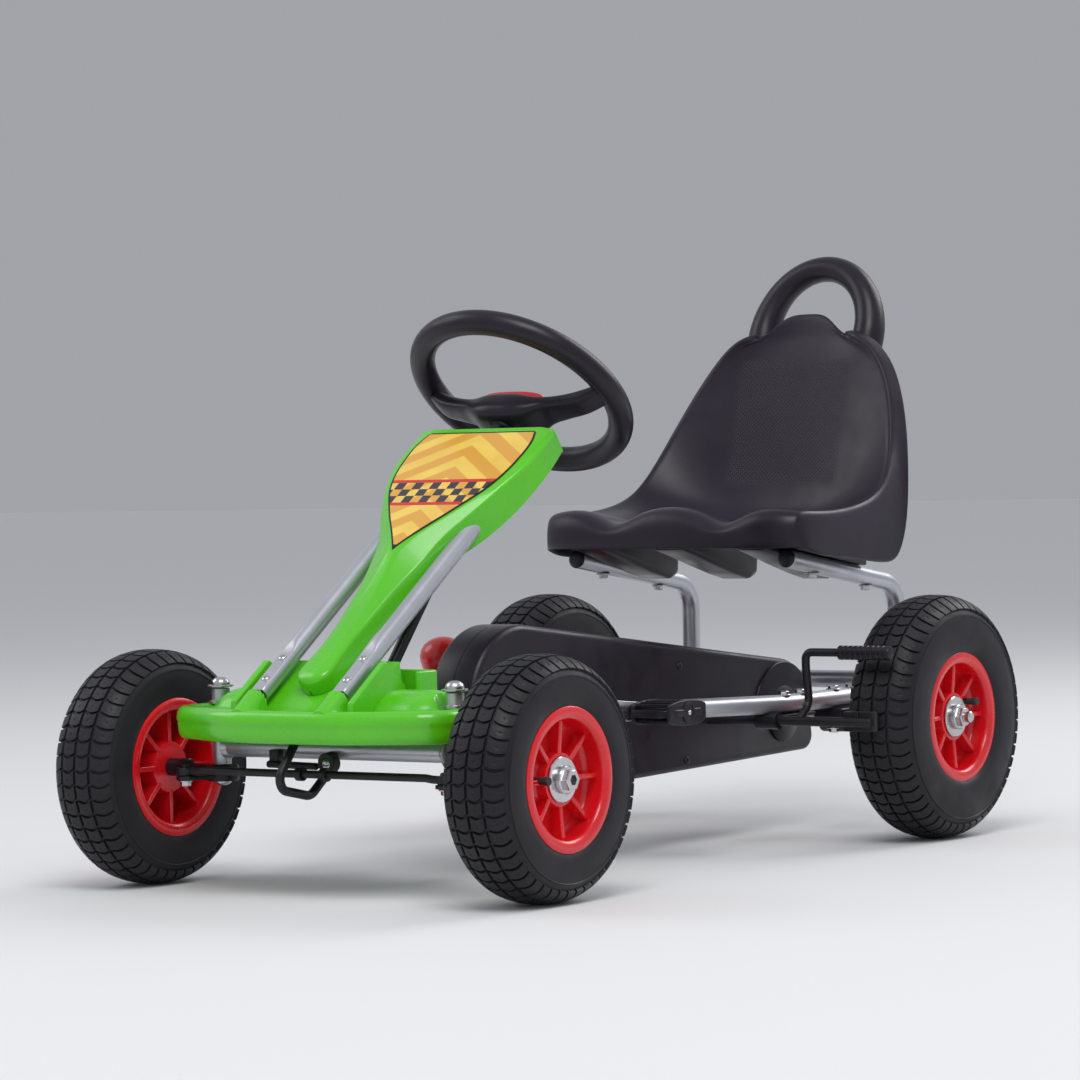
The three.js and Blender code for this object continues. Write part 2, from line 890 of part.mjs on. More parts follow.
const steeringTurn = radians(steering.tilt - 90);
const steeringFoot = point(
  0,
  beamY + steering.behindBeam * Math.sin(radians(steering.tilt)),
  beamZ - steering.behindBeam * Math.cos(radians(steering.tilt)),
);
const steeringFrame = new THREE.Matrix4().makeRotationX(steeringTurn).setPosition(steeringFoot);
const steeringGroup = new THREE.Group();
steeringGroup.rotation.x = steeringTurn;
steeringGroup.position.copy(steeringFoot);
kart.add(steeringGroup);
const steeringWheelGroup = new THREE.Group();
steeringWheelGroup.position.z = steering.wheelAlong;
steeringGroup.add(steeringWheelGroup);

function steeringShaft() {
  const s = steering;
  const at = (ahead, along) => point(0, -ahead, along);
  const foot = new Route([
    at(0, s.sleeveStart + overrun),
    at(0, s.crankAlong),
    at(s.crankAhead, s.crankAlong),
    at(s.loopFrontAhead, s.loopFrontAlong),
    at(s.loopRearAhead, s.loopRearAlong),
    at(s.footAhead, s.footAlong),
  ], [s.crankBend, s.crankBend, s.loopBend, s.loopBend]);
  const top = s.wheelAlong - steeringWheel.bossLength + steeringWheel.socketDepth - clearance;
  return join(tube(foot, s.crankRadius), rod(at(0, s.sleeveStart), at(0, top), s.shaftRadius));
}

// The yoke is welded to the beam and holds the shaft's lower end
function yokeShape() {
  const top = yoke.along + yoke.thickness;
  const front = -steering.behindBeam - yoke.legWidth / 2;
  const inner = yoke.halfWidth - yoke.thickness;
  const bridge = block(-yoke.halfWidth, yoke.halfWidth, front, yoke.rear, yoke.along, top);
  const leg = (side) => {
    const [x0, x1] = [side * inner, side * yoke.halfWidth].sort((a, b) => a - b);
    return block(x0, x1, front, front + yoke.legWidth, 0, top);
  };
  const hole = rod(
    point(0, 0, yoke.along - overrun),
    point(0, 0, top + overrun),
    steering.shaftRadius + runningPlay,
    sides.round,
  );
  return cut(join(bridge, leg(1), leg(-1)), hole).applyMatrix4(steeringFrame);
}

function steeringWheelShape() {
  const w = steeringWheel;
  const [, , bodyTop, bodyBottom] = w.bodyRows[0];
  const ring = new THREE.TorusGeometry(steering.ringRadius, steering.gripRadius, sides.grip, sides.ring);
  const section = ([x, half, top, bottom], side) => superellipse(half, (top - bottom) / 2, w.bodyPower, sides.round)
    .map(([across, up]) => point(side * x, across, (top + bottom) / 2 + up));
  const leftHalf = w.bodyRows.map((row) => section(row, 1));
  const rightHalf = w.bodyRows.slice(1).reverse().map((row) => section(row, -1));
  const bossTop = (bodyTop + bodyBottom) / 2;
  const boss = rod(point(0, 0, -w.bossLength), point(0, 0, bossTop), w.bossRadius, sides.round);
  const socket = rod(
    point(0, 0, -w.bossLength - overrun),
    point(0, 0, w.socketDepth - w.bossLength),
    steering.shaftRadius + clearance,
    sides.round,
  );
  const capSeat = plate(capOutline(clearance), w.capHeight).translate(0, 0, bodyTop - w.capInset);
  return cut(join(ring, loft([...rightHalf, ...leftHalf]), boss), socket, capSeat);
}

function capOutline(gap) {
  const halfWidth = steeringWheel.capWidth / 2 + gap;
  const halfLength = steeringWheel.capLength / 2 + gap;
  return outline(superellipse(halfWidth, halfLength, steeringWheel.capPower, sides.round));
}

function hubCap() {
  const w = steeringWheel;
  const [, , bodyTop] = w.bodyRows[0];
  return plate(capOutline(0), w.capHeight).translate(0, 0, bodyTop - w.capInset + clearance);
}

piece('steering_shaft', steeringShaft(), blackSteel, steeringGroup);
piece('steering_wheel', steeringWheelShape(), blackPlastic, steeringWheelGroup);
piece('steering_hub_cap', hubCap(), redPlastic, steeringWheelGroup);
piece('steering_bush', hoop(
  point(0, 0, steering.bushAlong - steering.bushLength / 2),
  point(0, 0, steering.bushAlong + steering.bushLength / 2),
  steering.bushRadius,
  steering.shaftRadius + runningPlay,
), blackPlastic, steeringGroup);

// Front beam with its kingpin sleeves and the yoke

function frontBeam() {
  const at = (side, z) => point(side * kingpin.offset, beamY, z);
  const sleeve = (side) => rod(at(side, sleeveBottom), at(side, sleeveTop), kingpin.sleeveRadius, sides.round);
  const bore = (side) => {
    const radius = kingpin.pinRadius + runningPlay;
    return rod(at(side, sleeveBottom - overrun), at(side, sleeveTop + overrun), radius);
  };
  const reach = kingpin.offset - kingpin.pinRadius - overrun;
  const bar = rod(point(-reach, beamY, beamZ), point(reach, beamY, beamZ), beam.radius, sides.round);
  return cut(join(bar, sleeve(1), sleeve(-1), yokeShape()), bore(1), bore(-1));
}

function steeringStopShape() {
  const s = steeringStop;
  const y = beamY - s.aheadOfBeam;
  const z = beamZ - s.belowBeam;
  const front = beamY - beam.radius - clearance;
  return join(
    rod(point(-s.end, y, z), point(-s.start, y, z), s.radius),
    block(-s.end, s.tabWidth - s.end, y, front, z, beamZ),
  );
}

piece('front_beam', frontBeam(), silverPaint);
piece('steering_stop', steeringStopShape(), blackSteel);

// Tower, in a frame whose +Y runs up its tubes and whose +Z stands off them

const towerTurn = radians(tower.slope);
const towerFoot = point(0, frontY - tower.startAhead, frontZ + tower.startAboveAxle);
const towerFrame = new THREE.Matrix4().makeRotationX(towerTurn).setPosition(towerFoot);
const towerInverse = towerFrame.clone().invert();
const towerGroup = new THREE.Group();
towerGroup.rotation.x = towerTurn;
towerGroup.position.copy(towerFoot);
kart.add(towerGroup);

function towerTube() {
  const at = (up, out) => point(tower.tubeSpacing, up, out);
  const wallMiddle = tower.tubeRadius - tower.tubeWall;
  const pipe = hoop(at(tower.tubeStart, 0), at(tower.tubeEnd, 0), tower.tubeRadius, wallMiddle);
  const screws = tower.screwPlaces.map((up) => {
    const top = tower.tubeRadius + tower.screwHeight;
    return rod(at(up, wallMiddle), at(up, top), tower.screwRadius, sides.rod);
  });
  return join(pipe, ...screws);
}

function towerPassage(side) {
  const start = point(side * tower.tubeSpacing, tower.tubeStart - clearance, 0);
  const end = point(side * tower.tubeSpacing, tower.tubeEnd + clearance, 0);
  return rod(start, end, tower.tubeRadius + clearance, sides.round);
}

// One section of the cover at a place along the tubes, drawn in by an inset and open downwards by a drop
function coverSection(place, inset, drop) {
  const c = cover;
  const [, top, flat, edge, edgeHeight, foot, bottom] = rowAt(c.rows, place);
  const noseEnd = c.noseStart + c.noseLength;
  const gone = THREE.MathUtils.clamp((noseEnd - place) / c.noseLength, 0, 1);
  const share = Math.sqrt(1 - gone ** 2);
  const half = [
    [foot * share - inset, bottom - drop],
    [edge * share - inset, edgeHeight - inset / 2],
    [flat * share - inset / 2, top - inset],
  ];
  const corners = [...half, ...half.map(([x, z]) => [-x, z]).reverse()];
  const rounded = corners.flatMap((corner, i) => {
    if (i === 0 || i === corners.length - 1) return [corner];
    const reach = i === 1 || i === corners.length - 2 ? c.edgeReach : c.topReach;
    return roundCorner(corners[i - 1], corner, corners[i + 1], reach);
  });
  return rounded.map(([x, z]) => point(x, place, z));
}

function towerCover() {
  const c = cover;
  const noseEnd = c.noseStart + c.noseLength;
  const nose = c.noseShares.map((share) => noseEnd - c.noseLength * share);
  const places = c.rows.map(([place]) => place);
  const top = places[places.length - 1];
  const outer = [...nose, ...places].map((place) => coverSection(place, 0, 0));
  const innerPlaces = places.map((place) => (place === top ? top - c.endPlate : place));
  const inner = innerPlaces.map((place) => coverSection(place, c.wall, c.wall));
  const bushHole = rod(
    point(0, 0, steering.bushAlong - steering.bushLength),
    point(0, 0, steering.bushAlong + steering.bushLength),
    steering.bushRadius + clearance,
    sides.round,
  ).applyMatrix4(steeringFrame).applyMatrix4(towerInverse);
  return cut(loft(outer), loft(inner), bushHole, towerPassage(1), towerPassage(-1));
}

// The printed sheet lies on the cover's flat top
function decalShape() {
  const rings = cover.decalRows.map(([place, half]) => {
    const low = rowAt(cover.rows, place)[1] + clearance;
    const high = low + cover.decalThickness;
    return [[-half, low], [-half, high], [half, high], [half, low]].map(([x, z]) => point(x, place, z));
  });
  return loft(rings.map((ring) => ring.reverse()));
}

pair('tower_tube', towerTube(), silverPaint, towerGroup);
piece('tower_cover', towerCover(), greenPlastic, towerGroup);
piece('panel_decal', decalShape(), printedSheet, towerGroup);

// Front tray of the fairing

const trayBottom = frontZ + tray.bottomAboveAxle;
const trayTop = frontZ + tray.topAboveAxle;
const trayRear = frontY + tray.rearBehindAxle;

// The tray's corners in plan, drawn in by an inset, each with the reach of its rounding
function trayOutline(inset) {
  const t = tray;
  const nose = trayRear - t.length;
  const slant = Math.atan2(t.cornerBehindNose, t.halfWidth - t.noseHalfWidth);
  const sideDrop = inset * Math.tan(Math.PI / 4 - slant / 2);
  const noseDrop = inset * Math.tan(slant / 2);
  const half = [
    [t.halfWidth - inset, trayRear - inset, t.rearReach],
    [t.halfWidth - inset, nose + t.cornerBehindNose + sideDrop, t.cornerReach],
    [t.noseHalfWidth - noseDrop, nose + inset, t.noseReach],
  ];
  const corners = [...half, ...half.map(([x, y, reach]) => [-x, y, reach]).reverse()];
  return outline(corners.flatMap((corner, i) => {
    const before = corners[(i + corners.length - 1) % corners.length];
    const after = corners[(i + 1) % corners.length];
    return roundCorner(before, corner, after, corner[2], 4);
  }).reverse());
}

// A rounded mound with a straight middle, cut off level with the tray's floor by the join
function trayHump() {
  const t = tray;
  const z = frontZ + t.humpAboveAxle;
  const end = (x) => new THREE.SphereGeometry(1, sides.round, sides.rod)
    .scale(t.humpEnd, t.humpHalfLength, t.humpHeight)
    .translate(x, frontY, z);
  const bar = new THREE.CylinderGeometry(1, 1, t.humpOuter - t.humpInner, sides.round)
    .rotateZ(Math.PI / 2)
    .scale(1, t.humpHalfLength, t.humpHeight)
    .translate((t.humpInner + t.humpOuter) / 2, frontY, z);
  return join(end(t.humpInner), end(t.humpOuter), bar);
}

function frontTray() {
  const t = tray;
  const base = plate(trayOutline(t.bevel), trayTop - trayBottom - t.bevel, {
    bevelEnabled: true,
    bevelThickness: t.bevel,
    bevelSize: t.bevel,
    bevelSegments: 2,
  }).translate(0, 0, trayBottom);
  const floorTop = trayTop - t.floorDrop;
  const recess = plate(trayOutline(t.lipWidth), t.wall).translate(0, 0, floorTop);
  const under = block(-t.halfWidth, t.halfWidth, trayRear - t.length, trayRear, 0, trayBottom);
  const hollow = plate(trayOutline(t.wall), floorTop - t.wall);
  const sleeveHole = rod(
    point(kingpin.offset, beamY, 0),
    point(kingpin.offset, beamY, capBase),
    kingpin.sleeveRadius + t.sleevePlay,
    sides.round,
  );
  const rampTop = -t.rampBelowTubes;
  const roofZ = (y) => {
    const rise = (y - towerFoot.y) * Math.tan(towerTurn);
    return towerFoot.z + rise + (rampTop - t.roof) / Math.cos(towerTurn);
  };
  const ramp = block(-t.rampHalfWidth, t.rampHalfWidth, -t.rampFront, t.length, rampTop - t.rampDepth, rampTop)
    .applyMatrix4(towerFrame);
  const fin = sideways(outline(t.finCorners.map(([y, z]) => [frontY + y, frontZ + z])), t.finInner, t.finOuter);
  const pod = rod(
    point(tower.tubeSpacing, tower.tubeStart - t.podAhead, -t.podDrop),
    point(tower.tubeSpacing, tower.tubeStart - clearance, -t.podDrop),
    t.podRadius,
    sides.round,
  ).applyMatrix4(towerFrame);
  const boxTop = frontZ + t.boxTopAboveAxle;
  const boxBack = block(t.boxInner, t.boxOuter, trayRear - t.boxWall, trayRear, floorTop - t.wall, boxTop);
  const boxSide = block(t.boxOuter - t.boxWall, t.boxOuter, trayRear - t.boxLength, trayRear, floorTop - t.wall, boxTop);
  const behindRamp = block(
    -t.halfWidth,
    t.halfWidth,
    frontY + t.rampRearBehindAxle,
    trayRear + t.length,
    0,
    boxTop + t.length,
  );
  const cavity = sideways(outline([
    [frontY - t.cavityAhead, trayBottom - overrun],
    [trayRear + overrun, trayBottom - overrun],
    [trayRear + overrun, roofZ(trayRear)],
    [frontY - t.cavityAhead, roofZ(frontY - t.cavityAhead)],
  ]), -t.cavityHalfWidth, t.cavityHalfWidth);
  const slot = block(-t.slotHalfWidth, t.slotHalfWidth, frontY, trayRear + overrun, trayBottom - overrun, boxTop + overrun);
  const side = join(trayHump(), fin, boxBack, boxSide);
  const solidRamp = cut(join(ramp, pod, mirrored(pod)), behindRamp);
  const whole = join(cut(base, recess), solidRamp, side, mirrored(side));
  const passages = [towerPassage(1), towerPassage(-1)].map((shape) => shape.applyMatrix4(towerFrame));
  return cut(whole, under, hollow, sleeveHole, mirrored(sleeveHole), cavity, slot, ...passages);
}

piece('front_tray', frontTray(), greenPlastic);

// Frame rails, with their plugs and the cross tube behind the seat

const uprightY = rearY + rail.uprightBehindAxle;
const seatRailFrontY = uprightY - rail.seatReach;
const seatRailRearZ = seat.panHeight - rail.seatRearDrop;
const seatRailFrontZ = seat.panHeight - rail.seatFrontDrop;

function railRoute() {
  const r = rail;
  const corners = [
    point(r.frontSpread, beamY + beam.radius + clearance, railFrontZ),
    point(r.frontSpread, frontY + r.kickStart, railFrontZ),
    point(r.midSpread, frontY + r.kickEnd, railFrontZ + r.kickRise),
    point(r.rearSpread, frontY + r.flareEnd, railRearZ),
    point(r.rearSpread, uprightY, railRearZ),
    point(r.rearSpread, uprightY, seatRailRearZ),
    point(r.rearSpread, seatRailFrontY, seatRailFrontZ),
  ];
  return new Route(corners, [r.elbow, r.elbow, r.elbow, r.bend, r.bend]);
}

function railPlug() {
  const route = railRoute();
  const last = route.steps;
  const end = route.places[last].clone();
  const heading = route.headings[last].clone();
  const inner = (rail.radius - rail.wall) * Math.cos(Math.PI / sides.tube) - clearance;
  const at = (out) => end.clone().addScaledVector(heading, out);
  return join(
    rod(at(-rail.plugLength), at(clearance * 2), inner),
    rod(at(clearance), at(clearance + rail.plugRim), rail.radius),
  );
}

pair('rail', tube(railRoute(), rail.radius, rail.radius - rail.wall), silverPaint);
pair('rail_plug', railPlug(), blackPlastic);

const crossReach = rail.rearSpread - rail.radius - clearance;
piece('rear_cross_tube', rod(
  point(-crossReach, uprightY - rail.crossAhead, railRearZ + rail.crossAbove),
  point(crossReach, uprightY - rail.crossAhead, railRearZ + rail.crossAbove),
  rail.crossRadius,
  sides.round,
), silverPaint);

// Crank, its bearing blocks and the pedals

function crankBearing() {
  const c = crank;
  const y0 = crankY - c.bearingAhead;
  const y1 = crankY + c.bearingBehind;
  const x0 = rail.frontSpread - c.bearingWidth / 2;
  const x1 = rail.frontSpread + c.bearingWidth / 2;
  const bottom = railFrontZ + rail.radius + clearance;
  const top = crankZ + c.radius + c.bearingAbove;
  const hole = rod(point(x0 - overrun, crankY, crankZ), point(x1 + overrun, crankY, crankZ), c.radius + clearance);
  return cut(block(x0, x1, y0, y1, bottom, top), hole);
}

function crankShape() {
  const c = crank;
  const outer = c.armInset + c.armThickness;
  const drop = radians(c.restDrop);
  const pieces = [rod(point(-outer, crankY, crankZ), point(outer, crankY, crankZ), c.radius)];
  for (const side of [1, -1]) {
    const shape = new THREE.Shape();
    shape.absarc(0, 0, c.armHalfWidth, Math.PI / 2, (3 * Math.PI) / 2, false);
    shape.absarc(c.armLength, 0, c.armHalfWidth, -Math.PI / 2, Math.PI / 2, false);
    shape.closePath();
    const arm = sideways(shape, 0, c.armThickness)
      .rotateX(side > 0 ? -drop : Math.PI - drop)
      .translate(side > 0 ? c.armInset : -outer, crankY, crankZ);
    const tip = point(0, side * c.armLength * Math.cos(drop), -side * c.armLength * Math.sin(drop));
    const at = (out) => point(side * out, crankY + tip.y, crankZ + tip.z);
    const end = outer + pedal.gap + pedal.length - pedal.gap;
    pieces.push(arm, rod(at(c.armInset), at(end), c.spindleRadius));
  }
  return join(...pieces);
}

function pedalShape() {
  const p = pedal;
  const half = p.halfWidth;
  const corners = [[0, -half], [p.length, -half], [p.length, half], [0, half]];
  const rounded = [1, 2].map((i) => roundCorner(corners[i - 1], corners[i], corners[(i + 1) % 4], p.roundReach, 3));
  const shape = outline([corners[0], ...rounded.flat(), corners[3]]);
  for (const side of [1, -1]) {
    const y = side * (p.hubRadius + p.slotWidth / 2);
    const slot = new THREE.Path();
    slot.moveTo(p.slotInset, y - p.slotWidth / 2);
    slot.lineTo(p.slotInset + p.slotLength, y - p.slotWidth / 2);
    slot.lineTo(p.slotInset + p.slotLength, y + p.slotWidth / 2);
    slot.lineTo(p.slotInset, y + p.slotWidth / 2);
    slot.closePath();
    shape.holes.push(slot);
  }
  const body = plate(shape, p.halfThickness * 2).translate(0, 0, -p.halfThickness);
  const hole = rod(point(-overrun, 0, 0), point(p.length + overrun, 0, 0), crank.spindleRadius + clearance);
  return cut(body, hole);
}

pair('crank_bearing', crankBearing(), blackPlastic);
piece('crank', crankShape(), chromeSteel);
const pedalStart = crank.armInset + crank.armThickness + pedal.gap;
for (const [name, side] of [['left', 1], ['right', -1]]) {
  const drop = radians(crank.restDrop);
  const body = pedalShape().translate(pedalStart, 0, 0);
  const placed = side > 0 ? body : mirrored(body);
  const y = crankY + side * crank.armLength * Math.cos(drop);
  const z = crankZ - side * crank.armLength * Math.sin(drop);
  piece(`pedal_${name}`, placed.translate(0, y, z), blackPlastic);
}

// Rear axle, its bearing blocks and the chain drive

function axleBearingShape() {
  const b = axleBearing;
  const z0 = rearZ - axle.radius - b.below;
  const body = block(b.inner, b.outer, rearY - b.length / 2, rearY + b.length / 2, z0, bearingTop);
  const hole = rod(
    point(b.inner - overrun, rearY, rearZ),
    point(b.outer + overrun, rearY, rearZ),
    axle.radius + clearance,
  );
  return cut(body, hole);
}

const pitchRadius = (teeth) => drive.pitch / (2 * Math.sin(Math.PI / teeth));

function sprocket(teeth, bore, y, z) {
  const radius = pitchRadius(teeth);
  const tip = radius + drive.toothTip;
  const root = radius - drive.toothRoot;
  const [rootEnd, tipStart, tipEnd] = drive.toothRiseShares;
  const places = [];
  for (let i = 0; i < teeth; i += 1) {
    for (const [share, reach] of [[0, root], [rootEnd, root], [tipStart, tip], [tipEnd, tip]]) {
      const angle = (2 * Math.PI * (i + share)) / teeth;
      places.push([reach * Math.cos(angle), reach * Math.sin(angle)]);
    }
  }
  const disc = sideways(outline(places), -drive.plate / 2, drive.plate / 2);
  const half = drive.hubLength / 2;
  const hub = rod(point(-half, 0, 0), point(half, 0, 0), drive.hubRadius);
  const hole = rod(point(-half - overrun, 0, 0), point(half + overrun, 0, 0), bore + clearance);
  return cut(join(disc, hub), hole).translate(drive.plane, y, z);
}

// The outline of a belt that goes round the crank and the rear axle, with an offset outward
function beltOutline(offset) {
  const frontRadius = pitchRadius(drive.frontTeeth) + offset;
  const backRadius = pitchRadius(drive.rearTeeth) + offset;
  const distance = Math.hypot(rearY - crankY, rearZ - crankZ);
  const lean = Math.atan2(rearZ - crankZ, rearY - crankY);
  const wrap = Math.acos((frontRadius - backRadius) / distance);
  const shape = new THREE.Shape();
  shape.absarc(crankY, crankZ, frontRadius, lean + wrap, lean - wrap + 2 * Math.PI, false);
  shape.absarc(rearY, rearZ, backRadius, lean - wrap, lean + wrap, false);
  shape.closePath();
  return shape;
}

function chainShape() {
  const d = drive;
  const x0 = d.plane - d.chainWidth / 2;
  const x1 = d.plane + d.chainWidth / 2;
  const slotHalf = d.plate / 2 + clearance;
  const outside = sideways(beltOutline(d.chainHalfHeight), x0, x1);
  const inside = sideways(beltOutline(-d.chainHalfHeight), x0 - overrun, x1 + overrun);
  const groove = sideways(beltOutline(d.groove), d.plane - slotHalf, d.plane + slotHalf);
  return cut(outside, inside, groove);
}

piece('chainring', sprocket(drive.frontTeeth, crank.radius, crankY, crankZ), blackSteel);
piece('rear_sprocket', sprocket(drive.rearTeeth, axle.radius, rearY, rearZ), blackSteel);
piece('chain', chainShape(), blackSteel);
pair('axle_bearing', axleBearingShape(), blackPlastic);
const rearAxleEnd = axleEnd(tyre.rearTrack);
piece('rear_axle', rod(point(-rearAxleEnd, rearY, rearZ), point(rearAxleEnd, rearY, rearZ), axle.radius), chromeSteel);

// Chain cover, in two halves that meet near the chain's plane

function chainCoverOutline(inset) {
  const c = chainCover;
  const front = c.frontRadius - inset;
  const back = c.rearRadius - inset;
  const centreY = crankY - c.frontAhead;
  const distance = Math.hypot(rearY - centreY, rearZ - crankZ);
  const lean = Math.atan2(rearZ - crankZ, rearY - centreY);
  const wrap = Math.acos((front - back) / distance);
  const shape = new THREE.Shape();
  shape.absarc(centreY, crankZ, front, lean + wrap, (3 * Math.PI) / 2, false);
  shape.lineTo(rearY - c.bellyAhead, rearZ - c.bellyDrop + inset);
  shape.lineTo(rearY + c.cornerBehind - inset, rearZ - c.cornerDrop + inset);
  shape.absarc(rearY, rearZ, back, 0, lean + wrap, false);
  shape.closePath();
  return shape;
}

function chainCoverHalf(x0, x1, wallAtOuter) {
  const c = chainCover;
  const passage = (y, z, radius) => rod(
    point(x0 - c.passagePlay, y, z),
    point(x1 + c.passagePlay, y, z),
    radius,
    sides.round,
  );
  const innerStart = wallAtOuter ? x0 - overrun : x0 + c.wall;
  const innerEnd = wallAtOuter ? x1 - c.wall : x1 + overrun;
  const solids = [sideways(chainCoverOutline(0), x0, x1)];
  if (wallAtOuter) {
    const bulgeStart = point(x1 - c.wall / 2, rearY, rearZ);
    const bulgeEnd = point(x1 + c.bulgeHeight, rearY, rearZ);
    solids.push(rod(bulgeStart, bulgeEnd, c.bulgeRadius, sides.round, c.bulgeTopRadius));
    const lugY = crankY - c.lugAhead;
    const lugEnd = rail.frontSpread - rail.radius - clearance;
    const [lugBottom, lugTop] = [railFrontZ - c.lugHalfHeight, railFrontZ + c.lugHalfHeight];
    solids.push(block(x1 - c.wall, lugEnd, lugY, lugY + c.lugLength, lugBottom, lugTop));
  }
  const inside = sideways(chainCoverOutline(c.wall), innerStart, innerEnd);
  return cut(
    join(...solids),
    inside,
    passage(crankY, crankZ, crank.radius + c.shaftPlay),
    passage(rearY, rearZ, axle.radius + c.axlePlay),
    passage(brakeY, brakeZ, brake.radius + brake.passage),
  );
}

piece('chain_cover_left', chainCoverHalf(drive.plane + clearance, chainCover.outer, true), blackPlastic);
piece('chain_cover_right', chainCoverHalf(chainCover.inner, drive.plane - clearance, false), blackPlastic);

// Hand brake

const railSpreadAt = (y) => {
  const start = frontY + rail.kickEnd;
  const end = frontY + rail.flareEnd;
  const share = THREE.MathUtils.clamp((y - start) / (end - start), 0, 1);
  return THREE.MathUtils.lerp(rail.midSpread, rail.rearSpread, share);
};

function brakeBar() {
  const b = brake;
  const bar = rod(point(-b.reach, brakeY, brakeZ), point(b.reach, brakeY, brakeZ), b.radius);
  const [, , [back, rise]] = b.leverCorners;
  const lever = new Route([
    point(b.leverOffset, brakeY, brakeZ),
    ...b.leverCorners.map(([behind, above]) => point(b.leverOffset, brakeY + behind, brakeZ + above)),
    point(b.gripOuter - b.radius, brakeY + back, brakeZ + rise),
  ], b.leverBends);
  const holder = (side) => {
    const [x0, x1] = [side * (b.reach - b.padLength), side * b.reach].sort((a, c) => a - c);
    const z0 = brakeZ - b.padBelow;
    const z1 = brakeZ + b.padAbove;
    return block(x0, x1, brakeY + b.radius - overrun, brakeY + b.radius + b.holderThickness - overrun, z0, z1);
  };
  return join(bar, tube(lever, b.leverRadius, 0, sides.rod), holder(1), holder(-1));
}

function brakePad() {
  const b = brake;
  const y = brakeY + b.radius + b.holderThickness - overrun + clearance;
  return block(b.reach - b.padLength, b.reach, y, y + b.padThickness, brakeZ - b.padBelow, brakeZ + b.padAbove);
}

function brakeGrip() {
  const b = brake;
  const [, , [back, rise]] = b.leverCorners;
  const at = (x) => point(x, brakeY + back, brakeZ + rise);
  const body = rod(at(b.gripInner), at(b.gripOuter), b.gripRadius, sides.round);
  const hole = rod(at(b.gripInner - overrun), at(b.gripOuter - b.radius + clearance), b.leverRadius + clearance);
  return cut(body, hole);
}

function brakeBracket() {
  const b = brake;
  const x = railSpreadAt(brakeY + b.bracketLength / 2);
  const x0 = x - b.bracketWidth / 2;
  const x1 = x + b.bracketWidth / 2;
  const top = railRearZ - rail.radius - clearance;
  const lug = b.radius + runningPlay + b.lugThickness;
  const flat = block(x0, x1, brakeY - lug, brakeY + b.bracketLength, top - b.bracketPlate, top);
  const body = join(
    rod(point(x0, brakeY, brakeZ), point(x1, brakeY, brakeZ), lug, sides.round),
    flat,
  );
  const above = block(x0 - overrun, x1 + overrun, brakeY - lug * 2, brakeY + lug * 2, top, top + lug * 2);
  const hole = rod(
    point(x0 - overrun, brakeY, brakeZ),
    point(x1 + overrun, brakeY, brakeZ),
    b.radius + runningPlay,
  );
  return cut(body, above, hole);
}

piece('brake_bar', brakeBar(), blackSteel);
piece('brake_grip', brakeGrip(), blackPlastic);
pair('brake_pad', brakePad(), blackRubber);
pair('brake_bracket', brakeBracket(), blackSteel);

// Drive lever on the right rail

const kickLean = Math.atan2(rail.kickRise, rail.kickEnd - rail.kickStart);
const leverY = crankY + driveLever.behindCrank;
const leverShare = (leverY - frontY - rail.kickStart) / (rail.kickEnd - rail.kickStart);
const leverX = -THREE.MathUtils.lerp(rail.frontSpread, rail.midSpread, leverShare);
const leverRailZ = railFrontZ + rail.kickRise * leverShare;
const leverFrame = new THREE.Matrix4().makeRotationX(kickLean).setPosition(point(leverX, leverY, leverRailZ));
const leverGroup = new THREE.Group();
leverGroup.rotation.x = kickLean;
leverGroup.position.setFromMatrixPosition(leverFrame);
kart.add(leverGroup);
const leverBase = rail.radius + clearance;
const leverPivot = leverBase + driveLever.pivotAbove;

function leverBracket() {
  const d = driveLever;
  const halfX = d.bracketWidth / 2;
  const halfY = d.bracketLength / 2;
  const slotHalf = d.bladeWidth / 2 + runningPlay;
  const floor = leverPivot - d.radius - runningPlay;
  const body = block(-halfX, halfX, -halfY, halfY, leverBase, leverBase + d.bracketHeight);
  const slot = block(-slotHalf, slotHalf, -halfY - overrun, halfY + overrun, floor, leverBase + d.slotHeight);
  const pinHole = rod(
    point(-halfX - overrun, 0, leverPivot),
    point(halfX + overrun, 0, leverPivot),
    d.pinRadius + clearance,
  );
  return cut(body, slot, pinHole);
}

function driveLeverShape() {
  const d = driveLever;
  const halfBlade = d.bladeWidth / 2;
  const halfX = d.bracketWidth / 2;
  return join(
    rod(point(-halfBlade, 0, leverPivot), point(halfBlade, 0, leverPivot), d.radius),
    rod(point(-halfX, 0, leverPivot), point(halfX, 0, leverPivot), d.pinRadius),
    rod(point(0, 0, leverPivot), point(0, 0, leverPivot + d.height), halfBlade, sides.rod),
  );
}

function leverKnob() {
  const d = driveLever;
  const base = leverPivot + d.knobStart;
  const profile = [[0, 0]];
  for (const [up, out] of d.knobShares) profile.push([d.knobRadius * out, d.knobLength * up]);
  profile.push([0, d.knobLength]);
  const body = new THREE.LatheGeometry(profile.map(([r, h]) => new THREE.Vector2(r, h)), sides.round)
    .rotateX(Math.PI / 2)
    .translate(0, 0, base);
  const hole = rod(
    point(0, 0, base - overrun),
    point(0, 0, leverPivot + d.height + clearance),
    d.bladeWidth / 2 + clearance,
  );
  return cut(body, hole);
}

piece('gear_lever_bracket', leverBracket(), blackPlastic, leverGroup);
piece('gear_lever', driveLeverShape(), blackSteel, leverGroup);
piece('gear_knob', leverKnob(), redPlastic, leverGroup);

// Seat

const seatFrontY = rearY - seat.frontAhead;

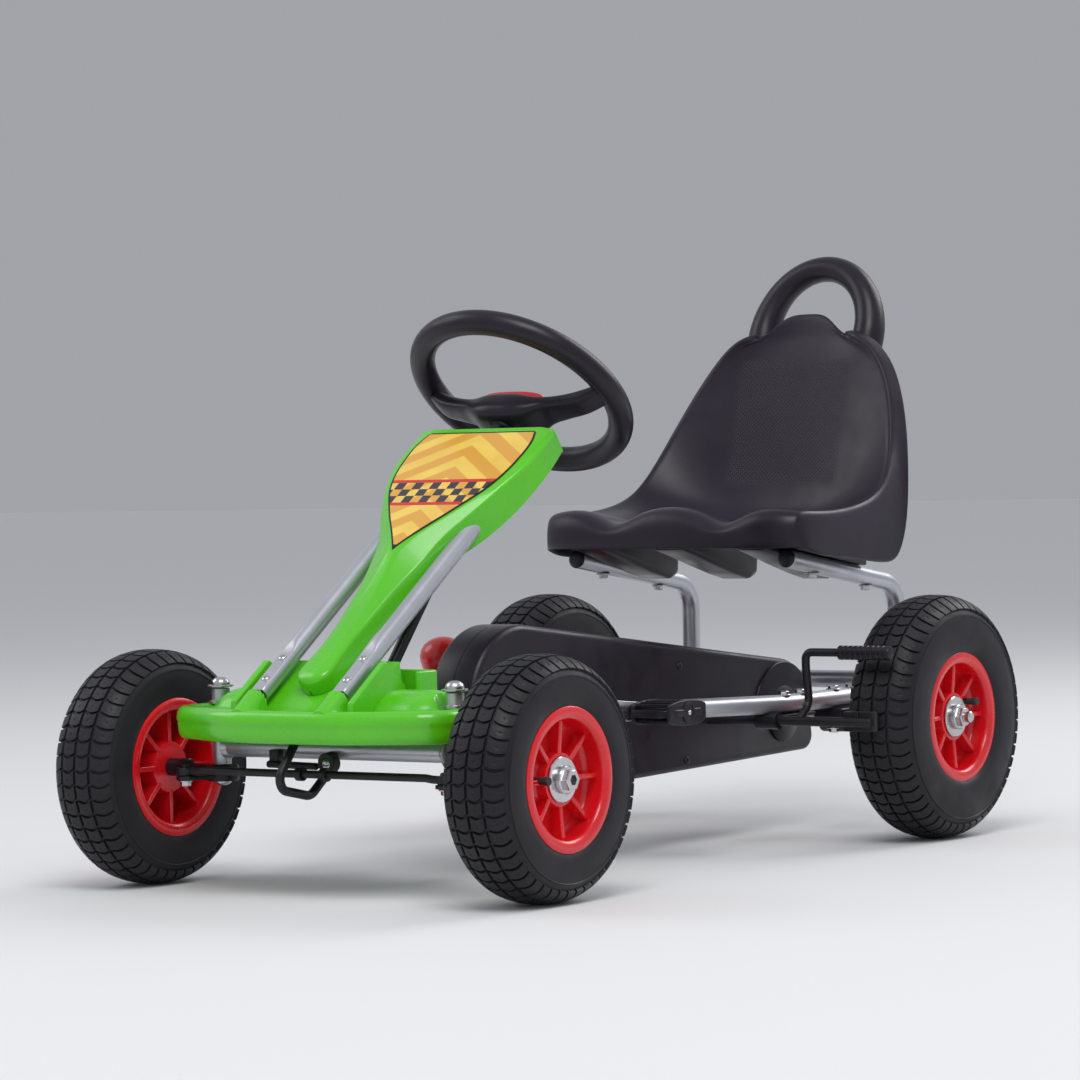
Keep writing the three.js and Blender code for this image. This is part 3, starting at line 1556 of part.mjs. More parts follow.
// The place on the seat's upper surface at a share of the way across, where more than 1 is the skirt
function seatPlace(number, share) {
  const t = seat;
  const [midY, midZ, rimX, rimY, rimZ, skirtX, skirtY, skirtZ, crest] = t.rows[number];
  const side = Math.sign(share);
  const out = Math.abs(share);
  if (out > 1) return point(side * skirtX, seatFrontY + skirtY, t.panHeight + skirtZ);
  const power = t.rimPowers[Math.min(number, t.rimPowers.length - 1)];
  const mix = out ** power;
  const x = rimX * out;
  const y = THREE.MathUtils.lerp(midY, rimY, mix);
  const z = THREE.MathUtils.lerp(midZ, rimZ, mix);
  const started = number > 1 ? 1 : 0;
  const fade = started * THREE.MathUtils.clamp((t.thighReach + t.rows[4][0] - y) / t.thighReach, 0, 1);
  const valley = Math.exp(-(((x - t.thighPlace) / t.thighWidth) ** 2));
  const lift = crest * Math.exp(-((x / t.crestHalfWidth) ** 4));
  return point(side * x, seatFrontY + y, t.panHeight + z - t.thighHollow * valley * fade + lift);
}

// The seat is one wall, made from its upper surface and the same surface set in by the wall
function seatShell() {
  const half = [...seatColumnShares, 2];
  const columns = [...half.slice(1).map((share) => -share).reverse(), ...half];
  const width = columns.length;
  const rows = seat.rows.length;
  const top = new THREE.BufferGeometry();
  const places = seat.rows.flatMap((_, i) => columns.flatMap((share) => seatPlace(i, share).toArray()));
  const topOrder = [];
  for (let i = 0; i < rows - 1; i += 1) {
    for (let j = 0; j < width - 1; j += 1) {
      const a = i * width + j;
      topOrder.push(a, a + 1, a + width + 1, a, a + width + 1, a + width);
    }
  }
  top.setAttribute('position', new THREE.Float32BufferAttribute(places, 3));
  top.setIndex(topOrder);
  top.computeVertexNormals();
  const normal = top.attributes.normal.array;
  const under = places.map((value, i) => value - normal[i] * seat.wall);
  const lower = rows * width;
  const order = [...topOrder];
  for (let i = 0; i < topOrder.length; i += 3) {
    order.push(lower + topOrder[i], lower + topOrder[i + 2], lower + topOrder[i + 1]);
  }
  const edge = [
    ...Array.from({ length: width - 1 }, (_, j) => j),
    ...Array.from({ length: rows - 1 }, (_, i) => i * width + width - 1),
    ...Array.from({ length: width - 1 }, (_, j) => rows * width - 1 - j),
    ...Array.from({ length: rows - 1 }, (_, i) => (rows - 1 - i) * width),
  ];
  edge.forEach((a, i) => {
    const b = edge[(i + 1) % edge.length];
    order.push(b, a, lower + a, b, lower + a, lower + b);
  });
  return facingOut([...places, ...under], order);
}

function seatHandle() {
  const s = seat;
  const at = (x, up, ahead = 0) => {
    const y = seatFrontY + s.handleBehind + up * s.handleLeanShare - ahead;
    return point(x, y, s.panHeight + s.handleBase + up);
  };
  const half = s.handleHalfWidth;
  const foot = (side) => rod(
    at(side * half, -s.handleFootDrop, s.handleFootAhead),
    at(side * half, 0),
    s.handleFootRadius / 2,
    sides.round,
    s.handleFootRadius,
  );
  const arch = [0, 0.1, 0.2, 0.3, 0.4, 0.5, 0.6, 0.7, 0.8, 0.9, 1].map((share) => {
    const angle = Math.PI * share;
    const thick = THREE.MathUtils.lerp(s.handleFootRadius, s.handleRadius, Math.sin(angle));
    const middle = at(half * Math.cos(angle), s.handleRise * Math.sin(angle));
    const outward = point(Math.cos(angle), 0, Math.sin(angle)).setLength(thick);
    const behind = point(0, thick, 0);
    return Array.from({ length: sides.round }, (_, i) => {
      const turn = (2 * Math.PI * i) / sides.round;
      return middle.clone().addScaledVector(outward, Math.cos(turn)).addScaledVector(behind, Math.sin(turn));
    });
  });
  return join(loft(arch), foot(1), foot(-1));
}

// The height of the seat's upper surface above a place in plan
function seatTopAt(x, y) {
  const line = seat.rows.map((row, i) => seatPlace(i, x / row[2]));
  const next = line.findIndex((place, i) => i > 3 && place.y > y);
  const [before, after] = [line[next - 1], line[next]];
  return THREE.MathUtils.lerp(before.z, after.z, (y - before.y) / (after.y - before.y));
}

// The bosses under the pan end just above the rails that they rest on
function seatBoss() {
  const s = seat;
  const y0 = seatRailFrontY + s.bossStart;
  const y1 = seatRailFrontY + s.bossEnd;
  const slope = (seatRailRearZ - seatRailFrontZ) / rail.seatReach;
  const rise = (rail.radius / Math.cos(Math.atan(slope))) + clearance;
  const railTop = (y) => seatRailFrontZ + slope * (y - seatRailFrontY) + rise;
  const inner = rail.rearSpread - s.bossHalfWidth;
  const places = [[y0, railTop(y0)], [y1, railTop(y1)]];
  for (let step = s.bossSteps; step >= 0; step -= 1) {
    const y = THREE.MathUtils.lerp(y0, y1, step / s.bossSteps);
    places.push([y, seatTopAt(inner, y) - s.wall / 2]);
  }
  return sideways(outline(places), inner, rail.rearSpread + s.bossHalfWidth);
}

piece('seat', join(seatShell(), seatHandle(), seatBoss(), mirrored(seatBoss())), blackPlastic);

// The origin moves from midway between the axles to the middle of the kart's box

const box = new THREE.Box3().setFromObject(kart);
kart.position.y = -(box.min.y + box.max.y) / 2;
const assembly = new THREE.Group();
assembly.add(kart);

export default assembly;
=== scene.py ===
# Child's pedal go-kart: looks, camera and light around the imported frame.
# Sizes are in millimetres, with y counted from midway between the axles, and become metres in build().

import math

import bpy
import bmesh
import numpy as np
from mathutils import Matrix, Vector


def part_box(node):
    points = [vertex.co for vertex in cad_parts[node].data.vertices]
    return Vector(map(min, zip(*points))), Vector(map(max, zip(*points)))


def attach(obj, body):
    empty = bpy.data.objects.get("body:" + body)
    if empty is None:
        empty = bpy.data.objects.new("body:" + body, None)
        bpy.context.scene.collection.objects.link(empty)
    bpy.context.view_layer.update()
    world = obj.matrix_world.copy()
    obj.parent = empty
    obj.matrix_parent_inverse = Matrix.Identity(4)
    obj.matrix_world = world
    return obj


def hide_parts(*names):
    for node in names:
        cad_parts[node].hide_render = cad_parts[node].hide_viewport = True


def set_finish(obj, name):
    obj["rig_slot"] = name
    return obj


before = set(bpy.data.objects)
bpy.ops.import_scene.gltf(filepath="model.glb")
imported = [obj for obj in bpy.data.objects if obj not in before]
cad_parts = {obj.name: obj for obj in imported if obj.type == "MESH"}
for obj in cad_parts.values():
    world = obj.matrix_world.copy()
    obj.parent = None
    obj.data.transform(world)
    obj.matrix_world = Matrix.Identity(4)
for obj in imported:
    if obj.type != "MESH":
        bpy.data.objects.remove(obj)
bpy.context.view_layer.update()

MM = 0.001


# Places worked out from the frame

def middle(node):
    low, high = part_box(node)
    return (Vector(low) + Vector(high)) / 2


FRONT = middle("tyre_front_left")
REAR = middle("tyre_rear_left")
MID_Y = (FRONT.y + REAR.y) / 2
FRONT_Y = (FRONT.y - MID_Y) / MM
REAR_Y = (REAR.y - MID_Y) / MM
FRONT_RADIUS = FRONT.z / MM
REAR_RADIUS = REAR.z / MM


def to_metres(points):
    return np.asarray(points, float) * MM + np.array((0, MID_Y, 0))


def place(x, y, z):
    return Vector(to_metres((x, y, z)))


# Shared places on the frame

BEAM_Y = FRONT_Y - 4
BEAM_Z = FRONT_RADIUS + 23
BEAM_RADIUS = 10.5
BEAM_HALF = 136
KINGPIN_X = 145
SLEEVE_LOW = FRONT_RADIUS + 4.3
SLEEVE_HIGH = SLEEVE_LOW + 76
RAIL_RADIUS = 10
RAIL_Z = REAR_RADIUS + 18.6
UPRIGHT_Y = REAR_Y + 118
CRANK_Y = FRONT_Y + 234
CRANK_Z = FRONT_RADIUS + 47.5
BRAKE_Y = REAR_Y - 146
BRAKE_Z = RAIL_Z - 15.8
STEERING_TILT = 49.8
STEERING_FOOT = (0, BEAM_Y + 15.5, BEAM_Z - 13.1)
WHEEL_ALONG = 468.6
TOWER_SLOPE = 35.4
TOWER_FOOT = (0, FRONT_Y - 51, FRONT_RADIUS + 84.1)
RISE = math.tan(math.radians(TOWER_SLOPE))
REAR_AXLE_END = (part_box("rear_axle")[1][0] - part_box("rear_axle")[0][0]) / 2 / MM
KNOB_LEAN = math.atan2(14.5, 94)


# Shader nodes

def fill(tree, node, inputs):
    """Sets a node's inputs to values, or links them to outputs of other nodes."""
    for name, value in inputs.items():
        if isinstance(value, bpy.types.NodeSocket):
            tree.links.new(value, node.inputs[name])
        else:
            node.inputs[name].default_value = value
    return node


def add_node(tree, kind, inputs):
    return fill(tree, tree.nodes.new("ShaderNode" + kind), inputs)


# Camera, solved from points in the photograph

CAMERA_PLACE = (2574.6, -3573.4, 432.9)
CAMERA_TURN = 35.859
CAMERA_DROP = 1.315
CAMERA_ROLL = -1.379
FOCAL_PIXELS = 4249.2
PHOTO_PIXELS = 1080
SENSOR = 36.0


def add_camera():
    turn = math.radians(CAMERA_TURN)
    drop = math.radians(CAMERA_DROP)
    roll = math.radians(CAMERA_ROLL)
    back = Vector((math.sin(turn) * math.cos(drop), -math.cos(turn) * math.cos(drop), math.sin(drop)))
    level_right = Vector((math.cos(turn), math.sin(turn), 0))
    level_up = back.cross(level_right)
    right = math.cos(roll) * level_right + math.sin(roll) * level_up
    up = math.cos(roll) * level_up - math.sin(roll) * level_right
    data = bpy.data.cameras.new("camera")
    data.sensor_width = SENSOR
    data.lens = FOCAL_PIXELS / PHOTO_PIXELS * SENSOR
    data.clip_end = 100
    camera = bpy.data.objects.new("camera", data)
    bpy.context.scene.collection.objects.link(camera)
    matrix = Matrix((right, up, back)).transposed().to_4x4()
    matrix.translation = place(*CAMERA_PLACE)
    camera.matrix_world = matrix
    bpy.context.scene.camera = camera


# Light, floor and backdrop

LAMP_SIZE = 2.0
LAMP_TARGET = (0, 0, 0.3)
LAMPS = [("key", (1.4, -1.9, 3.4), 78), ("fill", (-2.8, -1.2, 2.4), 25), ("rim", (1.0, 2.8, 2.4), 52)]
FLOOR_SIZE = 40


def add_light(name, at, power):
    data = bpy.data.lights.new(name, "AREA")
    data.size = LAMP_SIZE
    data.energy = power
    lamp = bpy.data.objects.new(name, data)
    bpy.context.scene.collection.objects.link(lamp)
    lamp.location = at
    lamp.rotation_euler = (Vector(LAMP_TARGET) - Vector(at)).to_track_quat("-Z", "Y").to_euler()


# What the camera sees of the sky is as bright as the far floor that it lights
SKY = (0.9, 0.93, 1.0)
SKY_STRENGTH = 0.55
FLOOR_GREY = 0.72
FLOOR_ROUGHNESS = 0.7


def add_world():
    world = bpy.data.worlds.new("studio")
    world.use_nodes = True
    bpy.context.scene.world = world
    tree = world.node_tree
    light = fill(tree, tree.nodes["Background"], {"Color": (*SKY, 1), "Strength": SKY_STRENGTH})
    backdrop = (*[sky * FLOOR_GREY for sky in SKY], 1)
    seen = add_node(tree, "Background", {"Color": backdrop, "Strength": SKY_STRENGTH})
    rays = add_node(tree, "LightPath", {})
    mix = add_node(tree, "MixShader", {
        0: rays.outputs["Is Camera Ray"], 1: light.outputs[0], 2: seen.outputs[0],
    })
    fill(tree, tree.nodes["World Output"], {"Surface": mix.outputs[0]})


def add_floor():
    bpy.ops.mesh.primitive_plane_add(size=FLOOR_SIZE, location=(0, 0, 0))
    floor = bpy.context.object
    floor.name = "floor"
    material = bpy.data.materials.new("floor")
    material.use_nodes = True
    tree = material.node_tree
    grey = (FLOOR_GREY, FLOOR_GREY, FLOOR_GREY, 1)
    fill(tree, tree.nodes["Principled BSDF"], {"Base Color": grey, "Roughness": FLOOR_ROUGHNESS})
    floor.data.materials.append(material)


# Materials

COAT_ROUGHNESS = 0.08
PATCH_SCALE = 9
# The stretch of a noise's values over which the colour and the gloss drift
PATCH_RANGE = (0.35, 0.65)
GLOSS_RANGE = (0.3, 0.7)


def new_material(name, roughness, metallic=0.0, coat=0.0, specular=0.5):
    material = bpy.data.materials.new(name)
    material.use_nodes = True
    tree = material.node_tree
    shader = fill(tree, tree.nodes["Principled BSDF"], {
        "Roughness": roughness, "Metallic": metallic, "Coat Weight": coat, "Coat Roughness": COAT_ROUGHNESS,
        "Specular IOR Level": specular,
    })
    return material, tree, shader


def add_noise(tree, scale, detail):
    where = add_node(tree, "TexCoord", {})
    noise = add_node(tree, "TexNoise", {"Scale": scale, "Detail": detail, "Vector": where.outputs["Object"]})
    return noise.outputs["Fac"]


def add_range(tree, source, from_range, to_range):
    return add_node(tree, "MapRange", {
        "From Min": from_range[0], "From Max": from_range[1],
        "To Min": to_range[0], "To Max": to_range[1], "Value": source,
    }).outputs["Result"]


def add_mix(tree, share, first, second):
    mix = tree.nodes.new("ShaderNodeMix")
    mix.data_type = "RGBA"
    tree.links.new(share, mix.inputs["Factor"])
    for value, name in ((first, "A"), (second, "B")):
        socket = next(s for s in mix.inputs if s.name == name and s.type == "RGBA")
        if isinstance(value, bpy.types.NodeSocket):
            tree.links.new(value, socket)
        else:
            socket.default_value = (*value, 1)
    return next(s for s in mix.outputs if s.type == "RGBA")


def add_bump(tree, shader, height, distance):
    bump = add_node(tree, "Bump", {"Distance": distance, "Strength": 1, "Height": height})
    fill(tree, shader, {"Normal": bump.outputs["Normal"]})


def plain_finish(name, colour, second, roughness, spread, grain, depth, **more):
    """A colour that drifts in soft patches, with uneven gloss and a fine grain."""
    material, tree, shader = new_material(name, roughness, **more)
    patches = add_range(tree, add_noise(tree, PATCH_SCALE, 5), PATCH_RANGE, (0, 1))
    colours = add_mix(tree, patches, colour, second)
    limits = (roughness - spread, roughness + spread)
    gloss = add_range(tree, add_noise(tree, PATCH_SCALE * 4, 6), GLOSS_RANGE, limits)
    fill(tree, shader, {"Base Color": colours, "Roughness": gloss})
    add_bump(tree, shader, add_noise(tree, grain, 2), depth)
    return material


FINISHES = {
    # Colour, second colour, roughness and its spread, scale and depth of the grain
    "tyre_rubber": ((0.009, 0.0085, 0.011), (0.016, 0.015, 0.019), 0.5, 0.1, 900, 0.00015, {"specular": 0.3}),
    "red_plastic": ((0.72, 0.006, 0.012), (0.62, 0.004, 0.01), 0.27, 0.06, 300, 0.00002, {"coat": 0.3}),
    "green_plastic": ((0.1, 0.55, 0.008), (0.085, 0.5, 0.006), 0.28, 0.06, 260, 0.00003, {"coat": 0.25}),
    "black_plastic": ((0.011, 0.0085, 0.014), (0.017, 0.0125, 0.021), 0.34, 0.07, 1600, 0.00004,
                      {"specular": 0.3}),
    "silver_paint": ((0.54, 0.55, 0.59), (0.48, 0.49, 0.53), 0.34, 0.06, 700, 0.00003, {"metallic": 0.75}),
    "black_steel": ((0.012, 0.011, 0.014), (0.02, 0.018, 0.021), 0.36, 0.08, 500, 0.00004,
                    {"metallic": 0.2, "specular": 0.35}),
    "bright_zinc": ((0.62, 0.62, 0.64), (0.5, 0.5, 0.5), 0.24, 0.07, 500, 0.00004, {"metallic": 1.0}),
    "printed_sheet": ((0.85, 0.5, 0.05), (0.8, 0.45, 0.05), 0.35, 0.05, 500, 0.00002, {}),
    "pad_rubber": ((0.02, 0.019, 0.02), (0.035, 0.033, 0.034), 0.75, 0.08, 900, 0.0001, {}),
}
MATERIALS = {name: plain_finish(name, *row, **more) for name, (*row, more) in FINISHES.items()}


def add_math(tree, operation, first, second=0.0):
    step = tree.nodes.new("ShaderNodeMath")
    step.operation = operation
    return fill(tree, step, {0: first, 1: second}).outputs[0]


def object_axes(tree):
    """The object's own X, Y and Z, in metres."""
    where = add_node(tree, "TexCoord", {})
    return add_node(tree, "SeparateXYZ", {0: where.outputs["Object"]}).outputs


def band(tree, value, low, high):
    """1 between two places in millimetres and 0 elsewhere."""
    above = add_math(tree, "GREATER_THAN", value, low * MM)
    below = add_math(tree, "LESS_THAN", value, high * MM)
    return add_math(tree, "MULTIPLY", above, below)


SHEET_YELLOW = (0.86, 0.6, 0.1)
SHEET_ORANGE = (0.72, 0.36, 0.05)
SHEET_DARK = (0.03, 0.022, 0.03)
SHEET_RED = (0.6, 0.02, 0.015)
# In millimetres: the chevrons' pitch, the checks' size, and where the checked band and its two lines lie
SHEET_PITCH = 36
SHEET_SLANT = 0.75
CHECK_SIZE = 11
CHECK_BAND = (264, 297)
CHECK_LINES = ((259, 264), (297, 302))


def sheet_material():
    """Chevrons with a checked band, in the sheet's own directions."""
    material, tree, shader = new_material("printed_sheet_face", 0.33, coat=0.2)
    axes = object_axes(tree)
    slope = math.radians(TOWER_SLOPE)
    foot = to_metres(TOWER_FOOT)
    start = foot[1] * math.cos(slope) + foot[2] * math.sin(slope)
    level = add_math(tree, "MULTIPLY", axes["Y"], math.cos(slope))
    height = add_math(tree, "MULTIPLY", axes["Z"], math.sin(slope))
    along = add_math(tree, "SUBTRACT", add_math(tree, "ADD", level, height), start)
    across = add_math(tree, "ABSOLUTE", axes["X"])
    rise = add_math(tree, "ADD", along, add_math(tree, "MULTIPLY", across, SHEET_SLANT))
    stripe = add_math(tree, "FRACT", add_math(tree, "DIVIDE", rise, SHEET_PITCH * MM))
    stripe = add_range(tree, stripe, (0.47, 0.53), (0, 1))
    colour = add_mix(tree, stripe, SHEET_YELLOW, SHEET_ORANGE)
    cloud = add_range(tree, add_noise(tree, 30, 4), (0.4, 0.7), (0, 0.35))
    colour = add_mix(tree, cloud, colour, SHEET_ORANGE)
    flat = add_node(tree, "CombineXYZ", {0: axes["X"], 1: along})
    checker = add_node(tree, "TexChecker", {"Scale": 1 / (CHECK_SIZE * MM), "Vector": flat.outputs[0]})
    checked = add_math(tree, "MULTIPLY", checker.outputs["Fac"], band(tree, along, *CHECK_BAND))
    colour = add_mix(tree, checked, colour, SHEET_DARK)
    for line in CHECK_LINES:
        colour = add_mix(tree, band(tree, along, *line), colour, SHEET_RED)
    fill(tree, shader, {"Base Color": colour})
    add_bump(tree, shader, add_noise(tree, 500, 2), 0.00002)
    return material


# The dotted panel in metres: half its width, its lower and upper edge, its soft edge and its dots' pitch
PANEL_HALF = 0.066
PANEL_LOW = 0.372
PANEL_HIGH = 0.513
PANEL_EDGE = 0.012
DOT_PITCH = 0.005
SEAT_DARK = (0.013, 0.0085, 0.017)
SEAT_LIGHT = (0.019, 0.0125, 0.025)


def seat_material():
    """Moulded plastic with a dotted panel on the front of the backrest."""
    material, tree, shader = new_material("seat_plastic", 0.36, specular=0.3)
    patches = add_range(tree, add_noise(tree, 8, 5), PATCH_RANGE, (0, 1))
    colours = add_mix(tree, patches, SEAT_DARK, SEAT_LIGHT)
    gloss = add_range(tree, add_noise(tree, 30, 6), GLOSS_RANGE, (0.3, 0.42))
    fill(tree, shader, {"Base Color": colours, "Roughness": gloss})
    axes = object_axes(tree)
    wide = add_range(tree, add_math(tree, "ABSOLUTE", axes["X"]), (PANEL_HALF, PANEL_HALF + PANEL_EDGE),
                     (1, 0))
    low = add_range(tree, axes["Z"], (PANEL_LOW, PANEL_LOW + PANEL_EDGE), (0, 1))
    high = add_range(tree, axes["Z"], (PANEL_HIGH, PANEL_HIGH + PANEL_EDGE), (1, 0))
    mask = add_math(tree, "MULTIPLY", wide, add_math(tree, "MULTIPLY", low, high))
    turns = 2 * math.pi / DOT_PITCH
    waves = [add_math(tree, "SINE", add_math(tree, "MULTIPLY", axes[side], turns))
             for side in ("X", "Z")]
    pits = add_range(tree, add_math(tree, "MULTIPLY", *waves), (-0.2, 0.6), (0, 1))
    grain = add_math(tree, "MULTIPLY", add_noise(tree, 1400, 2), 0.12)
    height = add_math(tree, "ADD", add_math(tree, "MULTIPLY", pits, mask), grain)
    add_bump(tree, shader, height, 0.0003)
    return material


# Shapes: each is a pair of points and faces

def unit(vector):
    return np.array(vector, float) / np.linalg.norm(vector)


def clipped(value):
    return min(max(value, 0), 1)


def full_turn(steps):
    return np.linspace(0, 2 * math.pi, steps, endpoint=False)


def powered(wave, power):
    """A sine or cosine wave made squarer or sharper, with its sign kept."""
    return np.sign(wave) * np.abs(wave) ** power


def grid(rows, around=False, along=False):
    """Faces between rows of points; around closes each row, along closes the stack of rows."""
    rows = np.asarray(rows, float)
    count, width = rows.shape[:2]
    faces = []
    for i in range(count if along else count - 1):
        here, there = i * width, (i + 1) % count * width
        for j in range(width if around else width - 1):
            k = (j + 1) % width
            faces.append((here + j, here + k, there + k, there + j))
    return rows.reshape(-1, 3), faces


def stack(rows):
    """Closed rings of points, capped at both ends."""
    points, faces = grid(rows, around=True)
    width = len(rows[0])
    faces.append(tuple(reversed(range(width))))
    faces.append(tuple(range(len(points) - width, len(points))))
    return points, faces


def joined(*shapes):
    points, faces, start = [], [], 0
    for shape_points, shape_faces in shapes:
        points.append(np.asarray(shape_points, float))
        faces.extend(tuple(index + start for index in face) for face in shape_faces)
        start += len(shape_points)
    return np.concatenate(points), faces


def moved(shape, offset):
    return shape[0] + np.array(offset, float), shape[1]


def flipped(shape):
    """The same shape on the other side of the plane x = 0."""
    points = np.array(shape[0], float)
    points[:, 0] *= -1
    return points, [tuple(reversed(face)) for face in shape[1]]


def turned(profile, centre, side, steps):
    """A profile of (radius, distance outward) turned round an axis along x."""
    angles = full_turn(steps)
    rows = []
    for radius, out in profile:
        ring = np.stack([
            np.full(steps, side * out),
            radius * np.cos(angles),
            radius * np.sin(angles),
        ], axis=1)
        rows.append(ring + np.array(centre))
    return grid(rows, around=True, along=True)


def frames(path, closed=False):
    """A heading and two crossing directions at each point of a path, without twist."""
    path = np.asarray(path, float)
    ahead = np.roll(path, -1, axis=0) - path
    behind = path - np.roll(path, 1, axis=0)
    if not closed:
        ahead[-1], behind[0] = behind[-1], ahead[0]
    headings = [unit(unit(a) + unit(b)) for a, b in zip(ahead, behind)]
    start = np.eye(3)[np.argmin(np.abs(headings[0]))]
    side = unit(np.cross(headings[0], start))
    result = []
    for heading in headings:
        side = unit(side - heading * np.dot(side, heading))
        result.append((heading, side, np.cross(heading, side)))
    return result


def swept(path, radius, sides, closed=False, tip=0.0):
    """A round bar along a path, with its ends rounded off by tip."""
    path = np.asarray(path, float)
    radii = np.full(len(path), float(radius)) if np.isscalar(radius) else np.asarray(radius, float)
    angles = full_turn(sides)
    rows = []
    for at, size, (_, across, up) in zip(path, radii, frames(path, closed)):
        rows.append(at + size * (np.cos(angles)[:, None] * across + np.sin(angles)[:, None] * up))
    if closed:
        return grid(rows, around=True, along=True)
    if tip:
        steps = [math.radians(a) for a in (30, 60)]
        first, last = frames(path)[0][0], frames(path)[-1][0]
        start, end = [], []
        for a in steps:
            inward, off = tip * (1 - math.cos(a)), math.sin(a)
            start.insert(0, path[0] + (rows[0] - path[0]) * (1 - inward / radii[0]) - first * tip * off)
            end.append(path[-1] + (rows[-1] - path[-1]) * (1 - inward / radii[-1]) + last * tip * off)
        rows = start + rows + end
    return stack(rows)


def bent(corners, radius, steps):
    """A path of straight lines whose corners are arcs, of one radius or of one each."""
    corners = [np.array(corner, float) for corner in corners]
    radii = radius if isinstance(radius, (list, tuple)) else [radius] * (len(corners) - 2)
    path = [corners[0]]
    for before, corner, after, radius in zip(corners, corners[1:], corners[2:], radii):
        back, on = unit(before - corner), unit(after - corner)
        half = math.acos(max(-1, min(1, float(np.dot(back, on))))) / 2
        if abs(half - math.pi / 2) < 1e-3:
            path.append(corner)
            continue
        reach = min(radius / math.tan(half), np.linalg.norm(before - corner) / 2,
                    np.linalg.norm(after - corner) / 2)
        size = reach * math.tan(half)
        centre = corner + unit(back + on) * size / math.sin(half)
        start = corner + back * reach - centre
        end = corner + on * reach - centre
        for step in range(steps + 1):
            share = step / steps
            turn = math.pi - 2 * half
            a = math.sin((1 - share) * turn) / math.sin(turn)
            b = math.sin(share * turn) / math.sin(turn)
            path.append(centre + a * start + b * end)
    path.append(corners[-1])
    return np.array(path)


def rod(start, end, radius, sides, tip=0.6):
    start, end = np.array(start, float), np.array(end, float)
    line = unit(end - start)
    return swept([start + line * tip, end - line * tip], radius, sides, tip=tip)


def inset(outline, distance):
    """An outline of (u, v) points, counter-clockwise, drawn in by the distance."""
    outline = np.asarray(outline, float)
    back = outline - np.roll(outline, 1, axis=0)
    on = np.roll(outline, -1, axis=0) - outline
    normals = 0
    for edge in (back, on):
        length = np.maximum(np.linalg.norm(edge, axis=1), 1e-9)
        normals = normals + np.stack([-edge[:, 1], edge[:, 0]], axis=1) / length[:, None]
    size = np.maximum(np.sum(normals * normals, axis=1), 0.3)[:, None]
    return outline + normals * 2 * distance / size


def looped(profile, foot, heading, steps):
    """A closed profile of (radius, distance along) turned round a heading."""
    points, _ = spun(profile, foot, heading, steps)
    return grid(np.array(points).reshape(len(profile), steps, 3), around=True, along=True)


AXES = {"x": (1, 2, 0), "y": (2, 0, 1), "z": (0, 1, 2)}


def lifted(outline, level, axis):
    """An outline drawn across an axis, set at a level along it."""
    u, v, w = AXES[axis]
    row = np.zeros((len(outline), 3))
    row[:, u], row[:, v], row[:, w] = outline[:, 0], outline[:, 1], level
    return row


def slab(outline, low, high, axis, round_edge):
    """A plate with rounded edges: an outline drawn across the axis, from low to high along it."""
    outline = np.asarray(outline, float)
    area = np.sum(outline[:, 0] * np.roll(outline[:, 1], -1) - np.roll(outline[:, 0], -1) * outline[:, 1])
    if area < 0:
        outline = outline[::-1]
    arc = [math.pi / 2 * step / 3 for step in range(4)]
    levels = [(low + round_edge * (1 - math.sin(a)), round_edge * (1 - math.cos(a))) for a in reversed(arc)]
    levels += [(high - round_edge * (1 - math.sin(a)), round_edge * (1 - math.cos(a))) for a in arc]
    return stack([lifted(inset(outline, drawn), level, axis) for level, drawn in levels])


def rounded(corners, radius, steps=5):
    """A closed outline with its corners rounded."""
    corners = [np.array((*corner, 0), float) for corner in corners]
    radii = radius if isinstance(radius, (list, tuple)) else [radius] * len(corners)
    result = []
    for i, corner in enumerate(corners):
        arc = bent([corners[i - 1], corner, corners[(i + 1) % len(corners)]], radii[i], steps)
        result.extend(arc[1:-1])
    return np.array(result)[:, :2]


def box(low, high, corner, round_edge, axis="z"):
    u, v, w = AXES[axis]
    outline = rounded([
        (low[u], low[v]), (high[u], low[v]), (high[u], high[v]), (low[u], high[v]),
    ], corner)
    return slab(outline, low[w], high[w], axis, round_edge)


def in_frame(shape, foot, tilt):
    """A shape drawn with y along a slope and z off it, tilted about x and set on its foot."""
    c, s = math.cos(math.radians(tilt)), math.sin(math.radians(tilt))
    turn = np.array([[1, 0, 0], [0, c, -s], [0, s, c]])
    return np.asarray(shape[0]) @ turn.T + np.array(foot), shape[1]


MERGE_DISTANCE = 0.00001


def build(name, shape, body, slot, *nodes, smooth=38, material=None):
    points, faces = shape
    mesh = bpy.data.meshes.new(name)
    mesh.from_pydata(to_metres(points).tolist(), [], faces)
    work = bmesh.new()
    work.from_mesh(mesh)
    bmesh.ops.remove_doubles(work, verts=work.verts, dist=MERGE_DISTANCE)
    bmesh.ops.recalc_face_normals(work, faces=work.faces)
    work.to_mesh(mesh)
    work.free()
    mesh.shade_smooth()
    mesh.set_sharp_from_angle(angle=math.radians(smooth))
    piece = bpy.data.objects.new(name, mesh)
    bpy.context.scene.collection.objects.link(piece)
    mesh.materials.append(material or MATERIALS[slot])
    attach(piece, body)
    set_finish(piece, slot)
    if nodes:
        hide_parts(*nodes)
    return piece


